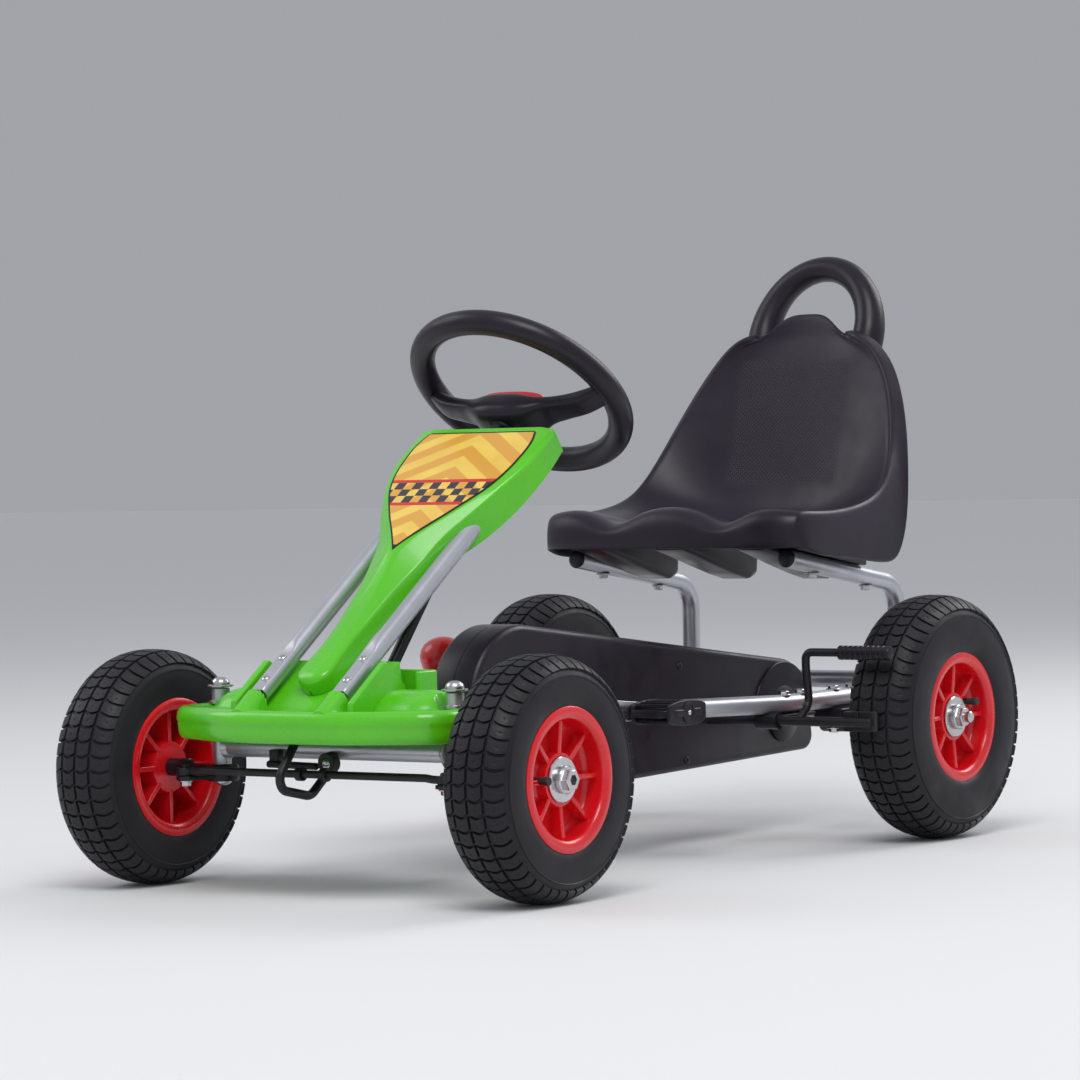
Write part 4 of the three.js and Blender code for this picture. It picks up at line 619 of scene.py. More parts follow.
def between(table, at):
    """The columns of a table, smoothly joined, at places along its first column."""
    table = np.array(sorted(table), float)
    keys, values = table[:, 0], table[:, 1:]
    step = np.diff(keys)[:, None]
    slope = np.diff(values, axis=0) / step
    inner = (slope[1:] * step[:-1] + slope[:-1] * step[1:]) / (step[1:] + step[:-1])
    tangent = np.vstack([slope[:1], inner, slope[-1:]])
    at = np.clip(np.atleast_1d(np.asarray(at, float)), keys[0], keys[-1])
    i = np.clip(np.searchsorted(keys, at, side="right") - 1, 0, len(keys) - 2)
    h = step[i]
    t = (at - keys[i])[:, None] / h
    return ((2 * t**3 - 3 * t**2 + 1) * values[i] + (t**3 - 2 * t**2 + t) * h * tangent[i]
            + (3 * t**2 - 2 * t**3) * values[i + 1] + (t**3 - t**2) * h * tangent[i + 1])


def spun(profile, foot, heading, steps):
    """A profile of (radius, distance along) turned round a heading and capped at both ends."""
    heading = unit(heading)
    side = unit(np.cross(heading, np.eye(3)[np.argmin(np.abs(heading))]))
    up = np.cross(heading, side)
    angles = full_turn(steps)[:, None]
    foot = np.array(foot, float)
    return stack([foot + along * heading + radius * (np.cos(angles) * side + np.sin(angles) * up)
                  for radius, along in profile])


def hex_bolt(foot, heading, half=5.6, height=5.0, washer=8.0):
    base = spun([(washer - 0.6, 0), (washer, 0.5), (washer, 1.1), (washer - 0.5, 1.6)], foot, heading, 32)
    head = spun([(half, 1.4), (half, height - 0.8), (half - 1, height)], foot, heading, 6)
    return joined(base, head)


def dome(foot, heading, radius, height):
    arc = [(radius * math.cos(a), height * math.sin(a)) for a in np.linspace(0, math.pi / 2 - 0.06, 8)]
    return spun([(radius * 0.92, -1), (radius, -0.4)] + arc, foot, heading, 28)


def pipe(path, radius, wall=1.6, *, depth, sides):
    """A tube along a path, open for a short way at both ends."""
    path = np.asarray(path, float)
    turns = frames(path)
    angles = full_turn(sides)[:, None]

    def ring(at, size, turn):
        return at + size * (np.cos(angles) * turn[1] + np.sin(angles) * turn[2])

    first, last = turns[0], turns[-1]
    rows = [ring(path[0] + first[0] * depth, radius - wall, first), ring(path[0], radius - wall, first)]
    rows.append(ring(path[0], radius - 0.4, first))
    rows.append(ring(path[0] + first[0] * 0.4, radius, first))
    rows += [ring(at, radius, turn) for at, turn in zip(path[1:-1], turns[1:-1])]
    rows.append(ring(path[-1] - last[0] * 0.4, radius, last))
    rows.append(ring(path[-1], radius - 0.4, last))
    rows += [ring(path[-1], radius - wall, last), ring(path[-1] - last[0] * depth, radius - wall, last)]
    return stack(rows)


def sheet(top, bottom):
    """A closed plate between two grids of points."""
    upper, faces = grid(top)
    lower, back = grid(bottom)
    count, width = np.shape(top)[:2]
    start = len(upper)
    edge = list(range(width)) + [i * width + width - 1 for i in range(1, count)]
    edge += [(count - 1) * width + j for j in range(width - 2, -1, -1)]
    edge += [i * width for i in range(count - 2, 0, -1)]
    faces = faces + [tuple(start + k for k in reversed(face)) for face in back]
    faces += [(b, a, a + start, b + start) for a, b in zip(edge, edge[1:] + edge[:1])]
    return np.concatenate([upper, lower]), faces


def both(shape):
    return joined(shape, flipped(shape))


def pair(name, shape, body, slot, *nodes, **more):
    """A piece on the left and its mirror image on the right."""
    for side, part in (("left", shape), ("right", flipped(shape))):
        build(f"{name}_{side}", part, body.format(side), slot, *[node.format(side) for node in nodes], **more)


def on_tower(shape):
    return in_frame(shape, TOWER_FOOT, TOWER_SLOPE)


def on_steering(shape):
    return in_frame(shape, STEERING_FOOT, STEERING_TILT - 90)


# Wheels

TREAD_PITCH = 15.2
TREAD_DEPTH = 2.6
TREAD_SAG = 4.0
TREAD_COLUMN = 17.0
TREAD_GAP = 1.1
TREAD_EDGE = 0.5
TREAD_NOTCH = 0.9
LINE_HEIGHT = 0.8
BEAD_RADIUS = 62.0
SHOULDER_SHARE = 0.868


def carcass(radius, half_width):
    """Distance from the crown, radius and place across, along half a tyre's section."""
    crown = radius - TREAD_DEPTH
    waist = BEAD_RADIUS + 0.47 * (crown - BEAD_RADIUS)
    angles = np.radians(np.linspace(0, 148, 400))
    upper = angles < math.pi / 2
    power = np.where(upper, 2 / 2.6, 2 / 4)
    height = np.where(upper, crown - waist, waist - BEAD_RADIUS)
    radii = waist + height * powered(np.cos(angles), power)
    across = half_width * np.sin(angles) ** power
    steps = np.hypot(np.diff(radii), np.diff(across))
    along = np.concatenate([[0], np.cumsum(steps)])
    return along, radii, across


def tyre_shape(centre, radius, half_width):
    along, radii, across = carcass(radius, half_width)
    shoulder = np.interp(-radius * SHOULDER_SHARE, -radii, along)
    inner, outer = TREAD_COLUMN, shoulder
    # Each column is a distance from the crown and a kind: 0 groove, 1 block, 2 notch, -1 raised line
    edge, gap = TREAD_EDGE, TREAD_GAP
    columns = [(0, 0), (gap, 0)]
    for start, end in ((0, inner), (inner, outer)):
        first, last = start + gap + edge, end - gap - edge
        mid = (first + last) / 2
        for at in (first, (first + mid) / 2, mid - 1, mid, mid + 1, (mid + last) / 2, last):
            columns.append((at, 2 if at == mid else 1))
        columns.append((end - gap, 0))
        columns.append((end + gap, 0))
    line = shoulder + 4
    columns += [(line, 0), (line + 0.5, -1), (line + 1.3, -1), (line + 1.8, 0)]
    for share in (0.15, 0.3, 0.45, 0.6, 0.72, 0.82, 0.9, 0.96, 1):
        columns.append((line + 2 + (along[-1] - line - 2) * share, 0))
    both = [(-s, kind) for s, kind in reversed(columns[1:])] + columns
    pitches = round(2 * math.pi * radius / TREAD_PITCH)
    pitch = 360 / pitches
    width = 2 * math.pi * radius / pitches
    rows_across = [(0, 0), (2 * gap, 0), (2 * gap + edge, 1), (0.35 * width, 1), (0.57 * width - 1, 1),
                   (0.57 * width, 2), (0.57 * width + 1, 1), (0.8 * width, 1), (width - edge, 1)]
    away = np.array([abs(s) for s, _ in both])
    r = np.interp(away, along, radii)
    x = np.interp(away, along, across) * np.sign([s for s, _ in both])
    before, after = np.maximum(away - 0.3, 0), away + 0.3
    dr = np.interp(after, along, radii) - np.interp(before, along, radii)
    dx = np.interp(after, along, across) - np.interp(before, along, across)
    size = np.hypot(dr, dx)
    out_r, out_x = dx / size, -dr / size * np.sign([s for s, _ in both])
    start = np.where(away < inner, 0, inner)
    end = np.where(away < inner, inner, outer)
    share = np.clip((away - start) / (end - start), 0, 1)
    sag = np.where(away <= outer, TREAD_SAG * (1 - (2 * share - 1) ** 2), 0)
    column_kind = np.array([kind for _, kind in both])
    rows = []
    for number in range(pitches):
        for offset, kind in rows_across:
            lift = np.where((column_kind > 0) & (kind > 0), TREAD_DEPTH, 0.0)
            lift = np.where((column_kind == 2) & (kind == 2), TREAD_DEPTH - TREAD_NOTCH, lift)
            lift = np.where(column_kind == -1, LINE_HEIGHT, lift)
            angle = np.radians(number * pitch) + (offset + sag) / radius
            size_r = r + out_r * lift
            rows.append(np.stack([
                centre[0] + x + out_x * lift,
                centre[1] + size_r * np.cos(angle),
                centre[2] + size_r * np.sin(angle),
            ], axis=1))
    return grid(rows, along=True)


# One face of a rim, from the bore out to the tyre's seat, as (radius, distance from the middle)
RIM_FACE = [
    (7, 24), (23, 24), (25.2, 23.4), (26, 21.5), (27, 15), (29, 12.8), (32, 12), (50, 12), (53.5, 13),
    (55.7, 16), (56.1, 28), (56.5, 31.5), (57.7, 33.8), (60.3, 35.2), (63.5, 35.6), (67.3, 35.3), (69, 34.4),
    (69.5, 33), (69.5, 31.2), (68, 30.4), (62, 30),
]
RIM_RIBS = 8


def rim_shape(centre, side):
    back = [(radius, -out if out > 20 or radius > 55 else 14 - out) for radius, out in reversed(RIM_FACE)]
    disc = turned(RIM_FACE + back, centre, side, 96)
    ribs = []
    for number in range(RIM_RIBS):
        turn = 2 * math.pi * number / RIM_RIBS
        for low, high in ((10, 26), (-24, 4)):
            rib = slab(rounded([(22, low), (57, low), (57, high), (22, high - 3)], [0.5, 0.5, 3, 3]),
                       -2.6, 2.6, "z", 1.2)
            radius, out, thick = rib[0].T
            ribs.append((np.stack([
                centre[0] + side * out,
                centre[1] + radius * math.cos(turn) - thick * math.sin(turn),
                centre[2] + radius * math.sin(turn) + thick * math.cos(turn),
            ], axis=1), rib[1]))
    return joined(disc, *ribs)


def nut_shape(centre, side):
    washer = turned([(6.2, 24.3), (20.5, 24.3), (22, 24.9), (22, 26), (21, 27), (6.2, 27)], centre, side, 48)
    ring = turned([(6.2, 26.8), (12.6, 26.8), (13.4, 28), (13.4, 31), (12.4, 32.2), (6.2, 32.2)],
                  centre, side, 40)
    hexagon = turned([(5.4, 32), (10.6, 32), (10.9, 33), (10.9, 37.4), (9.6, 38.3), (5.4, 38.3)],
                     centre, side, 6)
    return joined(washer, ring, hexagon)


def valve_shape(centre, side, degrees):
    turn = math.radians(degrees)
    radius = 34
    y, z = centre[1] + radius * math.cos(turn), centre[2] + radius * math.sin(turn)
    at = lambda out: (centre[0] + side * out, y, z)
    base = rod(at(10), at(15), 5.2, 24, 1.2)
    stem = rod(at(14), at(30), 3.4, 24, 0.5)
    cap = rod(at(29), at(35), 4.2, 12, 0.8)
    return joined(base, stem, cap)


WHEELS = [
    # Corner, side, y, radius, body of the wheel, body of its nut and where the valve is, in degrees
    ("front_left", 1, FRONT_Y, FRONT_RADIUS, "front_wheel_left", "knuckle_left", 178),
    ("front_right", -1, FRONT_Y, FRONT_RADIUS, "front_wheel_right", "knuckle_right", 60),
    ("rear_left", 1, REAR_Y, REAR_RADIUS, "rear_axle", "rear_axle", 25),
    ("rear_right", -1, REAR_Y, REAR_RADIUS, "rear_wheel_right", "rear_axle", 120),
]


def add_wheels():
    for corner, side, y, radius, body, nut_body, valve in WHEELS:
        low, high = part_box(f"tyre_{corner}")
        x = (low[0] + high[0]) / 2 / MM
        half_width = (high[0] - low[0]) / 2 / MM
        centre = (x, y, radius)
        build(f"tread_tyre_{corner}", tyre_shape(centre, radius, half_width), body, "tyre_rubber",
              f"tyre_{corner}")
        build(f"moulded_rim_{corner}", rim_shape(centre, side), body, "red_plastic", f"rim_{corner}")
        build(f"lock_nut_{corner}", nut_shape(centre, side), nut_body, "bright_zinc", f"wheel_nut_{corner}")
        build(f"valve_{corner}", valve_shape(centre, side, valve), body, "pad_rubber")


# Tower cover, its printed sheet and the two tubes, drawn with y along the tubes and z off them

# Each row is a place along the tubes, the middle's height, half the flat top, half the width at the
# edge, the edge's height, half the width at the bottom and the bottom's height
COVER_ROWS = [
    (390, 25.6, 68.5, 83.5, 22.6, 83, -4), (360, 25.6, 75, 86, 22.6, 85.5, -5),
    (323, 25.6, 72, 82.6, 22.6, 84, -6.4), (293, 25.6, 63, 73, 21.6, 76, -10.4),
    (253, 25.6, 42, 56, 17.6, 60, -13.4), (214, 24.6, 16, 37, 12.6, 44, -11.4),
    (191, 22.6, 7, 32.4, 9.6, 38, -10), (164, 16.6, 6.5, 26.6, 8, 31, -9.6),
    (134, 11.1, 7, 22, 7.2, 26, -9.6), (115, 8.6, 7.5, 19.8, 6.4, 23.5, -9.8),
    (94, 7.7, 7.5, 17.5, 5.8, 21, -10), (60, 7.5, 7, 16, 5.4, 20, -12), (30, 7.5, 8, 18.5, 5.4, 21, -12),
    (0, 7.5, 8, 20, 5.4, 22, -12),
]
COVER_TOP = 390
COVER_END = 5.0
COVER_NOSE = 19.0
COVER_WALL = 3.0


def cover_section(place):
    centre, flat, edge, edge_height, foot, low = between(COVER_ROWS, place)[0]
    if place < COVER_END + COVER_NOSE:
        share = math.sqrt(max(1 - ((COVER_END + COVER_NOSE - place) / COVER_NOSE) ** 2, 0.0009))
        flat, edge, foot = flat * share, edge * share, foot * share
        drop = 14 * (1 - share) ** 2
        centre, edge_height = centre - drop, edge_height - drop
    arch = [(-foot, low), (-edge, edge_height), (-flat, centre), (flat, centre), (edge, edge_height),
            (foot, low)]
    return bent([(x, 0, z) for x, z in arch], [5.5, 16, 16, 5.5], 6)[:, [0, 2]]


def cover_rows():
    outer, inner = [], []
    places = [COVER_END + 0.01, COVER_END + 0.6, COVER_END + 2, COVER_END + 4.5, COVER_END + 8,
              COVER_END + 13]
    places += list(np.arange(COVER_END + COVER_NOSE, COVER_TOP, 5.5)) + [COVER_TOP]
    for place in places:
        shape = cover_section(place)
        along = np.gradient(shape, axis=0)
        off = np.stack([along[:, 1], -along[:, 0]], axis=1) / np.linalg.norm(along, axis=1)[:, None]
        wall = COVER_WALL * min(1, np.ptp(shape[:, 0]) / 24)
        deeper = shape + off * wall
        deeper[[0, -1], 1] = shape[[0, -1], 1]
        outer.append(lifted(shape[:, ::-1], place, "y"))
        inner.append(lifted(deeper[:, ::-1], place, "y"))
    return np.array(outer), np.array(inner)


SHEET_ROWS = [(383, 64), (381.5, 67), (378, 68.6), (333, 72.6), (290, 62.5), (250, 39.5), (209, 11.4),
              (193, 1.5), (191, 0.4)]


def sheet_shape(drawn, height_off):
    rows = []
    start, end = SHEET_ROWS[-1][0] + drawn * 3, SHEET_ROWS[0][0] - drawn
    for place in np.concatenate([np.linspace(start, end - 5, 60), end - np.array((3, 1.5, 0.4, 0))]):
        half = max(between(SHEET_ROWS, place)[0][0] - drawn, 0.3)
        height = between(COVER_ROWS, place)[0][0]
        rows.append([(half * share, place, height + height_off) for share in np.linspace(-1, 1, 17)])
    top = np.array(rows)
    return sheet(top, top - np.array((0, 0, 1.2)))


TUBE_X = 50
TUBE_RADIUS = 9.5
TUBE_WALL = 1.6
# Where the tubes' pressed flat ends and where the screws sit, as places along the tubes
FLAT_END = 44
SCREW_PLACES = (7, 39)


def tube_shape():
    path = [(TUBE_X, y, 0) for y in (
        -10, -4, 2, 8, 14, 22, 30, 38, 44, 48, 52, 56, 60, 66, 110, 200, 300, 352,
    )]
    points, faces = pipe(path, TUBE_RADIUS, TUBE_WALL, depth=24, sides=40)
    points = np.array(points)
    limit = 6.4 + 3.1 * np.clip((points[:, 1] - FLAT_END) / 20, 0, 1) ** 2
    inside = np.hypot(points[:, 0] - TUBE_X, points[:, 2]) < TUBE_RADIUS - TUBE_WALL / 2
    limit -= np.where(inside, TUBE_WALL, 0)
    points[:, 2] = np.minimum(points[:, 2], limit)
    return points, faces


def add_tower():
    outer, inner = cover_rows()
    section = inset(cover_section(COVER_TOP), 0.4)
    end = slab([(z, x) for x, z in section], COVER_TOP - 3.6, COVER_TOP, "y", 0.8)
    build("fairing_tower", on_tower(joined(sheet(outer, inner), end)), "frame", "green_plastic",
          "tower_cover", smooth=44)
    build("sheet_border", on_tower(sheet_shape(0, 0.6)), "frame", "black_plastic")
    build("fairing_sheet", on_tower(sheet_shape(2.2, 0.85)), "frame", "printed_sheet", "panel_decal",
          material=SHEET_MATERIAL)
    pair("fairing_tube", on_tower(tube_shape()), "frame", "silver_paint", "tower_tube_{}")
    off = (0, 0, 1)
    screws = [joined(dome((TUBE_X, y, 6.5), off, 4.3, 2.3),
                     spun([(1.8, 8.2), (1.8, 9.2)], (TUBE_X, y, 0), off, 6))
              for y in SCREW_PLACES]
    pair("tube_screws", on_tower(joined(*screws)), "frame", "bright_zinc")


# Front tray

TRAY_REAR = FRONT_Y + 52
TRAY_FRONT = FRONT_Y - 98
TRAY_HALF = 169
TRAY_FLOOR = FRONT_RADIUS + 63.1
# Each row is a distance in from the outline and a height above the wheel's axle
TRAY_LIP = [
    (22, 64), (15, 65.3), (9.5, 65.6), (5.5, 64.9), (2.6, 62.8), (0.9, 59.6), (0.1, 55.5), (0, 52.6),
    (0.9, 50.6), (0.8, 47), (1.2, 42), (2, 38.5), (3.8, 35.2), (6.5, 33.8), (9.5, 34.2), (11, 36), (11.2, 42),
    (11.6, 52), (13, 58), (17, 60.6), (22, 61),
]
TRAY_STEP = 1.6
TRAY_SINK = 8
RAMP_DROP = 12.4
POD_RADIUS = 12.2
# The humps beside the kingpins: where their round ends start, and their size along x, y and z
HUMP_INNER, HUMP_OUTER = 80, 112
HUMP_END, HUMP_HALF, HUMP_RISE = 32, 40, 26.3


def tray_outline():
    corners = [
        (-TRAY_HALF, TRAY_REAR), (-TRAY_HALF, FRONT_Y - 56), (-70, TRAY_FRONT), (70, TRAY_FRONT),
        (TRAY_HALF, FRONT_Y - 56), (TRAY_HALF, TRAY_REAR),
    ]
    return rounded(corners, [25, 42, 150, 150, 42, 25], 14)


def smooth_step(value, low, high):
    share = np.clip((value - low) / (high - low), 0, 1)
    return share * share * (3 - 2 * share)


def blended(first, second, reach):
    near = np.maximum(reach - np.abs(first - second), 0) / reach
    return np.maximum(first, second) + near * near * reach / 4


def risen(height, share):
    """A height over the tray, sunk under its floor where the share is 0."""
    return TRAY_FLOOR - TRAY_SINK + (height - TRAY_FLOOR + TRAY_SINK) * share


def tray_height(x, y):
    """The height of the tray's upper side over a place in plan."""
    out = np.abs(x)
    cosine, sine = math.cos(math.radians(TOWER_SLOPE)), math.sin(math.radians(TOWER_SLOPE))
    height = np.full(np.broadcast(x, y).shape, TRAY_FLOOR)
    ramp = TOWER_FOOT[2] + (y - TOWER_FOOT[1]) * RISE - RAMP_DROP / cosine
    ramp = risen(ramp, smooth_step(-y, -FRONT_Y - 8.5, -FRONT_Y - 4.5))
    ramp = np.where(out < 74, ramp, TRAY_FLOOR - TRAY_SINK)
    height = blended(height, ramp, 7)
    off = np.sqrt(np.maximum(POD_RADIUS**2 - (out - TUBE_X) ** 2, 0)) - 2.0
    along = (y - TOWER_FOOT[1] + off * sine) / cosine
    pod = TOWER_FOOT[2] + along * sine + off * cosine
    pod = np.where(np.abs(out - TUBE_X) < POD_RADIUS, pod, TRAY_FLOOR - TRAY_SINK)
    pod = risen(pod, smooth_step(-along, 10.6, 12.6))
    height = blended(height, pod, 3)
    end = np.maximum(np.maximum(out - HUMP_OUTER, HUMP_INNER - out), 0) / HUMP_END
    bulge = 1 - ((y - FRONT_Y) / HUMP_HALF) ** 2 - end**2
    hump = FRONT_RADIUS + 55.5 + HUMP_RISE * np.sqrt(np.maximum(bulge, 0))
    hump = np.where(bulge > 0, hump, TRAY_FLOOR - TRAY_SINK)
    hump = risen(hump, smooth_step(np.hypot(out - KINGPIN_X, y - BEAM_Y), 15.5, 18.5))
    return blended(height, hump, 5)


def tray_top():
    edge = tray_outline()
    right = edge[edge[:, 0] > 0]
    right = right[np.argsort(right[:, 1])]
    rows = []
    for y in np.arange(TRAY_FRONT + 4.5, TRAY_REAR - 3, TRAY_STEP):
        half = np.interp(y, right[:, 1], right[:, 0]) - 13
        x = np.linspace(-half, half, 201)
        rows.append(np.stack([x, np.full(len(x), y), tray_height(x, y)], axis=1))
    return np.array(rows)


def add_tray():
    outline = tray_outline()
    rows = [lifted(inset(outline, drawn), FRONT_RADIUS + height, "z") for drawn, height in TRAY_LIP]
    lip = grid(rows, around=True, along=True)
    top = tray_top()
    floor = sheet(top, top - np.array((0, 0, 3)))
    fin = slab(rounded([
        (FRONT_Y - 74, TRAY_FLOOR - 4), (FRONT_Y - 72, FRONT_RADIUS + 73.2),
        (FRONT_Y - 19.8, FRONT_RADIUS + 110.3), (FRONT_Y + 10.5, FRONT_RADIUS + 84.3),
        (FRONT_Y + 10.5, TRAY_FLOOR - 4),
    ], [0.5, 2, 4, 3, 0.5]), 68, 75.5, "x", 1.6)
    wall = slab(rounded([
        (40, TRAY_REAR - 1), (86.5, TRAY_REAR - 1), (86.5, TRAY_REAR - 36), (82, TRAY_REAR - 36),
        (82, TRAY_REAR - 5.5), (40, TRAY_REAR - 5.5),
    ], [0.6, 8, 2, 2, 4, 0.6]), TRAY_FLOOR - 2, FRONT_RADIUS + 98, "z", 1.8)
    build("fairing_tray", joined(lip, floor, both(fin), both(wall)), "frame", "green_plastic", "front_tray",
          smooth=50)


# Front beam, kingpins, knuckles and tie rod

def add_front_axle():
    sleeve = spun([(8, 0), (9, 0.8), (9, 75.2), (8, 76)], (KINGPIN_X, BEAM_Y, SLEEVE_LOW), (0, 0, 1), 40)
    weld = spun([(BEAM_RADIUS, -4), (BEAM_RADIUS + 1.6, -1.5), (BEAM_RADIUS + 2.2, 1.5)],
                (BEAM_HALF, BEAM_Y, BEAM_Z), (1, 0, 0), 40)
    bar = rod((-BEAM_HALF, BEAM_Y, BEAM_Z), (BEAM_HALF, BEAM_Y, BEAM_Z), BEAM_RADIUS, 48)
    leg = box((29, -24.8, -2), (33, -15.8, 64), 1.5, 0.8)
    bridge = box((-33, -24.8, 60), (33, 16, 64), 2, 0.8)
    yoke = on_steering(joined(both(leg), bridge))
    build("axle_beam", joined(bar, both(sleeve), both(weld), yoke), "frame", "silver_paint", "front_beam")
    stop = rod((-72, BEAM_Y - 18, BEAM_Z - 15), (-10, BEAM_Y - 18, BEAM_Z - 16), 3.6, 24, 1.5)
    tab = box((-71, BEAM_Y - 18, BEAM_Z - 16), (-59, BEAM_Y - 9, BEAM_Z - 1), 1.5, 0.8)
    build("stop_bar", joined(stop, tab), "frame", "black_steel", "steering_stop")
    ring = looped([(5.2, 0), (9.2, 0), (10.4, 1.2), (10.4, 10), (9, 11.4), (5.2, 11.4)],
                  (2, BEAM_Y - 20.5, BEAM_Z - 13), (0, 1, 0.1), 40)
    build("foot_bush", ring, "frame", "pad_rubber")
    build("foot_bolt", dome((2, BEAM_Y - 19.5, BEAM_Z - 13), (0, -1, 0), 5.4, 3), "frame", "bright_zinc")

    x, z = KINGPIN_X, SLEEVE_HIGH + 1
    cap = joined(
        spun([(12, 0), (13, 0.6), (13, 1.6), (12.2, 2.2)], (x, BEAM_Y, z), (0, 0, 1), 40),
        spun([(9.2, 2), (9.4, 2.6), (9.2, 4.6), (8, 7.2), (5.6, 9), (2.6, 9.9), (0.3, 10.1)], (x, BEAM_Y, z),
             (0, 0, 1), 32),
    )
    pair("kingpin_nut", cap, "knuckle_{}", "bright_zinc", "kingpin_cap_{}")
    seat_ring = spun([(11, 0), (12, 0.8), (12, 3), (10.8, 3.8)], (x, BEAM_Y, TRAY_FLOOR + 1.5), (0, 0, 1), 40)
    pair("kingpin_seat", seat_ring, "frame", "bright_zinc")

    top, low = FRONT_RADIUS + 3.7, FRONT_RADIUS - 11.5
    block = spun([(15, 0), (16, 1), (16, top - low - 1), (15, top - low)], (x, BEAM_Y, low), (0, 0, 1), 40)
    boss = box((x, FRONT_Y - 11, low), (x + 48, FRONT_Y + 11, top), 2, 1.5, "x")
    stub = spun([(8, 0), (9, 0.8), (9, 24), (7.6, 24.2), (6, 24.4), (6, 84.5), (4.6, 86)],
                (x + 46, FRONT_Y, FRONT_RADIUS), (1, 0, 0), 32)
    arm = slab(rounded([
        (x - 9, BEAM_Y), (x + 9, BEAM_Y), (x + 25, BEAM_Y - 44), (x + 16, BEAM_Y - 48.5),
        (x + 7, BEAM_Y - 44),
    ], [1, 1, 5, 8, 5]), FRONT_RADIUS - 8.5, FRONT_RADIUS - 4.5, "z", 1)
    pin = spun([(4, 0), (4, 12), (3.2, 12.6)], (x + 16, BEAM_Y - 38, FRONT_RADIUS - 6), (0, 0, 1), 24)
    nut = hex_bolt((x + 16, BEAM_Y - 38, FRONT_RADIUS - 8.6), (0, 0, -1), 5.4, 6, 7.5)
    pair("steering_knuckle", joined(block, boss, stub, arm, pin), "knuckle_{}", "black_steel", "knuckle_{}")
    lower = dome((x, BEAM_Y, low + 0.2), (0, 0, -1), 9, 5)
    pair("kingpin_foot", joined(lower, nut), "knuckle_{}", "bright_zinc")

    end, y, z = x + 16, BEAM_Y - 38, FRONT_RADIUS
    path = bent([(0, y, z + 1.2), (end - 24, y, z + 1.2), (end - 15, y, z), (end - 8.4, y, z)], [30, 30], 5)
    half = joined(swept(path, 3.9, 28), rod((11, y, z + 1.2), (19, y, z + 1.2), 6.8, 32, 1))
    eye = looped([(4.5, -4), (8, -4), (9, -3), (9, 3), (8, 4), (4.5, 4)], (end, y, z), (0, 0, 1), 36)
    far = looped([(7, -4), (8.2, -4), (9, -3), (9, 3), (8.2, 4), (7, 4)], (-end, y, z), (0, 0, 1), 36)
    build("track_rod", joined(both(half), eye, far), "tie_rod", "black_steel", "tie_rod")


# Steering column and wheel, drawn with z up the shaft and -y looking ahead

def steering_shaft_shape():
    corners = [(0, 66), (0, 16), (76, 16), (75, -86.7), (25, -59.6), (19, -33)]
    foot = swept(bent([(0, -ahead, along) for ahead, along in corners], [12, 12, 12, 16, 12], 8), 4.5, 28,
                 tip=1.5)
    collar = spun([(8.2, 64), (9, 65), (9, 70), (8.2, 71)], (0, 0, 0), (0, 0, 1), 32)
    return joined(foot, rod((0, 0, 66), (0, 0, WHEEL_ALONG - 36), 6, 32, 0.5), collar)


WHEEL_RING = 109.4
GRIP_RADIUS = 13
# Half the width, the top and the bottom of the wheel's body at distances from its middle
WHEEL_BODY = [
    (0, 27, -17.5, -52), (14, 26.6, -17.7, -51.6), (24, 25, -18.4, -50), (34, 21.5, -19, -45),
    (46, 17, -18, -36), (65, 14, -14, -31), (90, 13, -6, -24), (108, 12.5, 2, -12),
]


def steering_wheel_shape():
    angles = full_turn(120)
    ring = np.stack([WHEEL_RING * np.cos(angles), WHEEL_RING * np.sin(angles), 0 * angles], axis=1)
    loop = swept(ring, GRIP_RADIUS, 36, closed=True)
    table = [(-row[0], *row[1:]) for row in WHEEL_BODY[1:]] + WHEEL_BODY
    around = full_turn(56)
    rows = []
    for x in np.linspace(-108, 108, 73):
        half, top, bottom = between(table, x)[0]
        cosine, sine = np.cos(around), np.sin(around)
        across = half * powered(cosine, 2 / 3.4)
        mid, reach = (top + bottom) / 2, (top - bottom) / 2
        up = mid + reach * powered(sine, 2 / 3)
        rows.append(np.stack([np.full(56, x), across, up], axis=1))
    boss = spun([(14, -55), (15, -54), (15, -36)], (0, 0, 0), (0, 0, 1), 40)
    return joined(loop, stack(rows), boss)


def cap_outline(half_length, half_width):
    angles = full_turn(72)
    x = half_length * powered(np.cos(angles), 2 / 2.6)
    y = half_width * powered(np.sin(angles), 2 / 3.2)
    return np.stack([x, y], axis=1)


CAP_LENGTH = 39
CAP_WIDTH = 16
# Each row is a distance in from the cap's outline and a height
CAP_EDGE = [(0, -20), (0, -13.8), (0.5, -12.6), (1.6, -11.6), (3.4, -10.8), (7, -9.9), (11, -9.3), (13.5, -9)]


def hub_cap_shape():
    return stack([lifted(cap_outline(CAP_LENGTH - drawn, CAP_WIDTH - drawn), level, "z")
                  for drawn, level in CAP_EDGE])


def add_steering():
    raised = lambda shape: on_steering(moved(shape, (0, 0, WHEEL_ALONG)))
    build("column", on_steering(steering_shaft_shape()), "steering", "black_steel", "steering_shaft")
    build("hand_wheel", raised(steering_wheel_shape()), "steering", "black_plastic", "steering_wheel")
    build("hand_wheel_cap", raised(hub_cap_shape()), "steering", "red_plastic", "steering_hub_cap", smooth=30)


# Frame rails, seat tubes and cross tube

RAIL_NARROW = 91
SEAT_TUBE_X = 137
SEAT_TUBE = ((SEAT_TUBE_X, UPRIGHT_Y, 267), (SEAT_TUBE_X, UPRIGHT_Y - 222, 303))


def seat_tube_z(y):
    (_, y0, z0), (_, y1, z1) = SEAT_TUBE
    return z0 + (z1 - z0) * (y0 - y) / (y0 - y1)


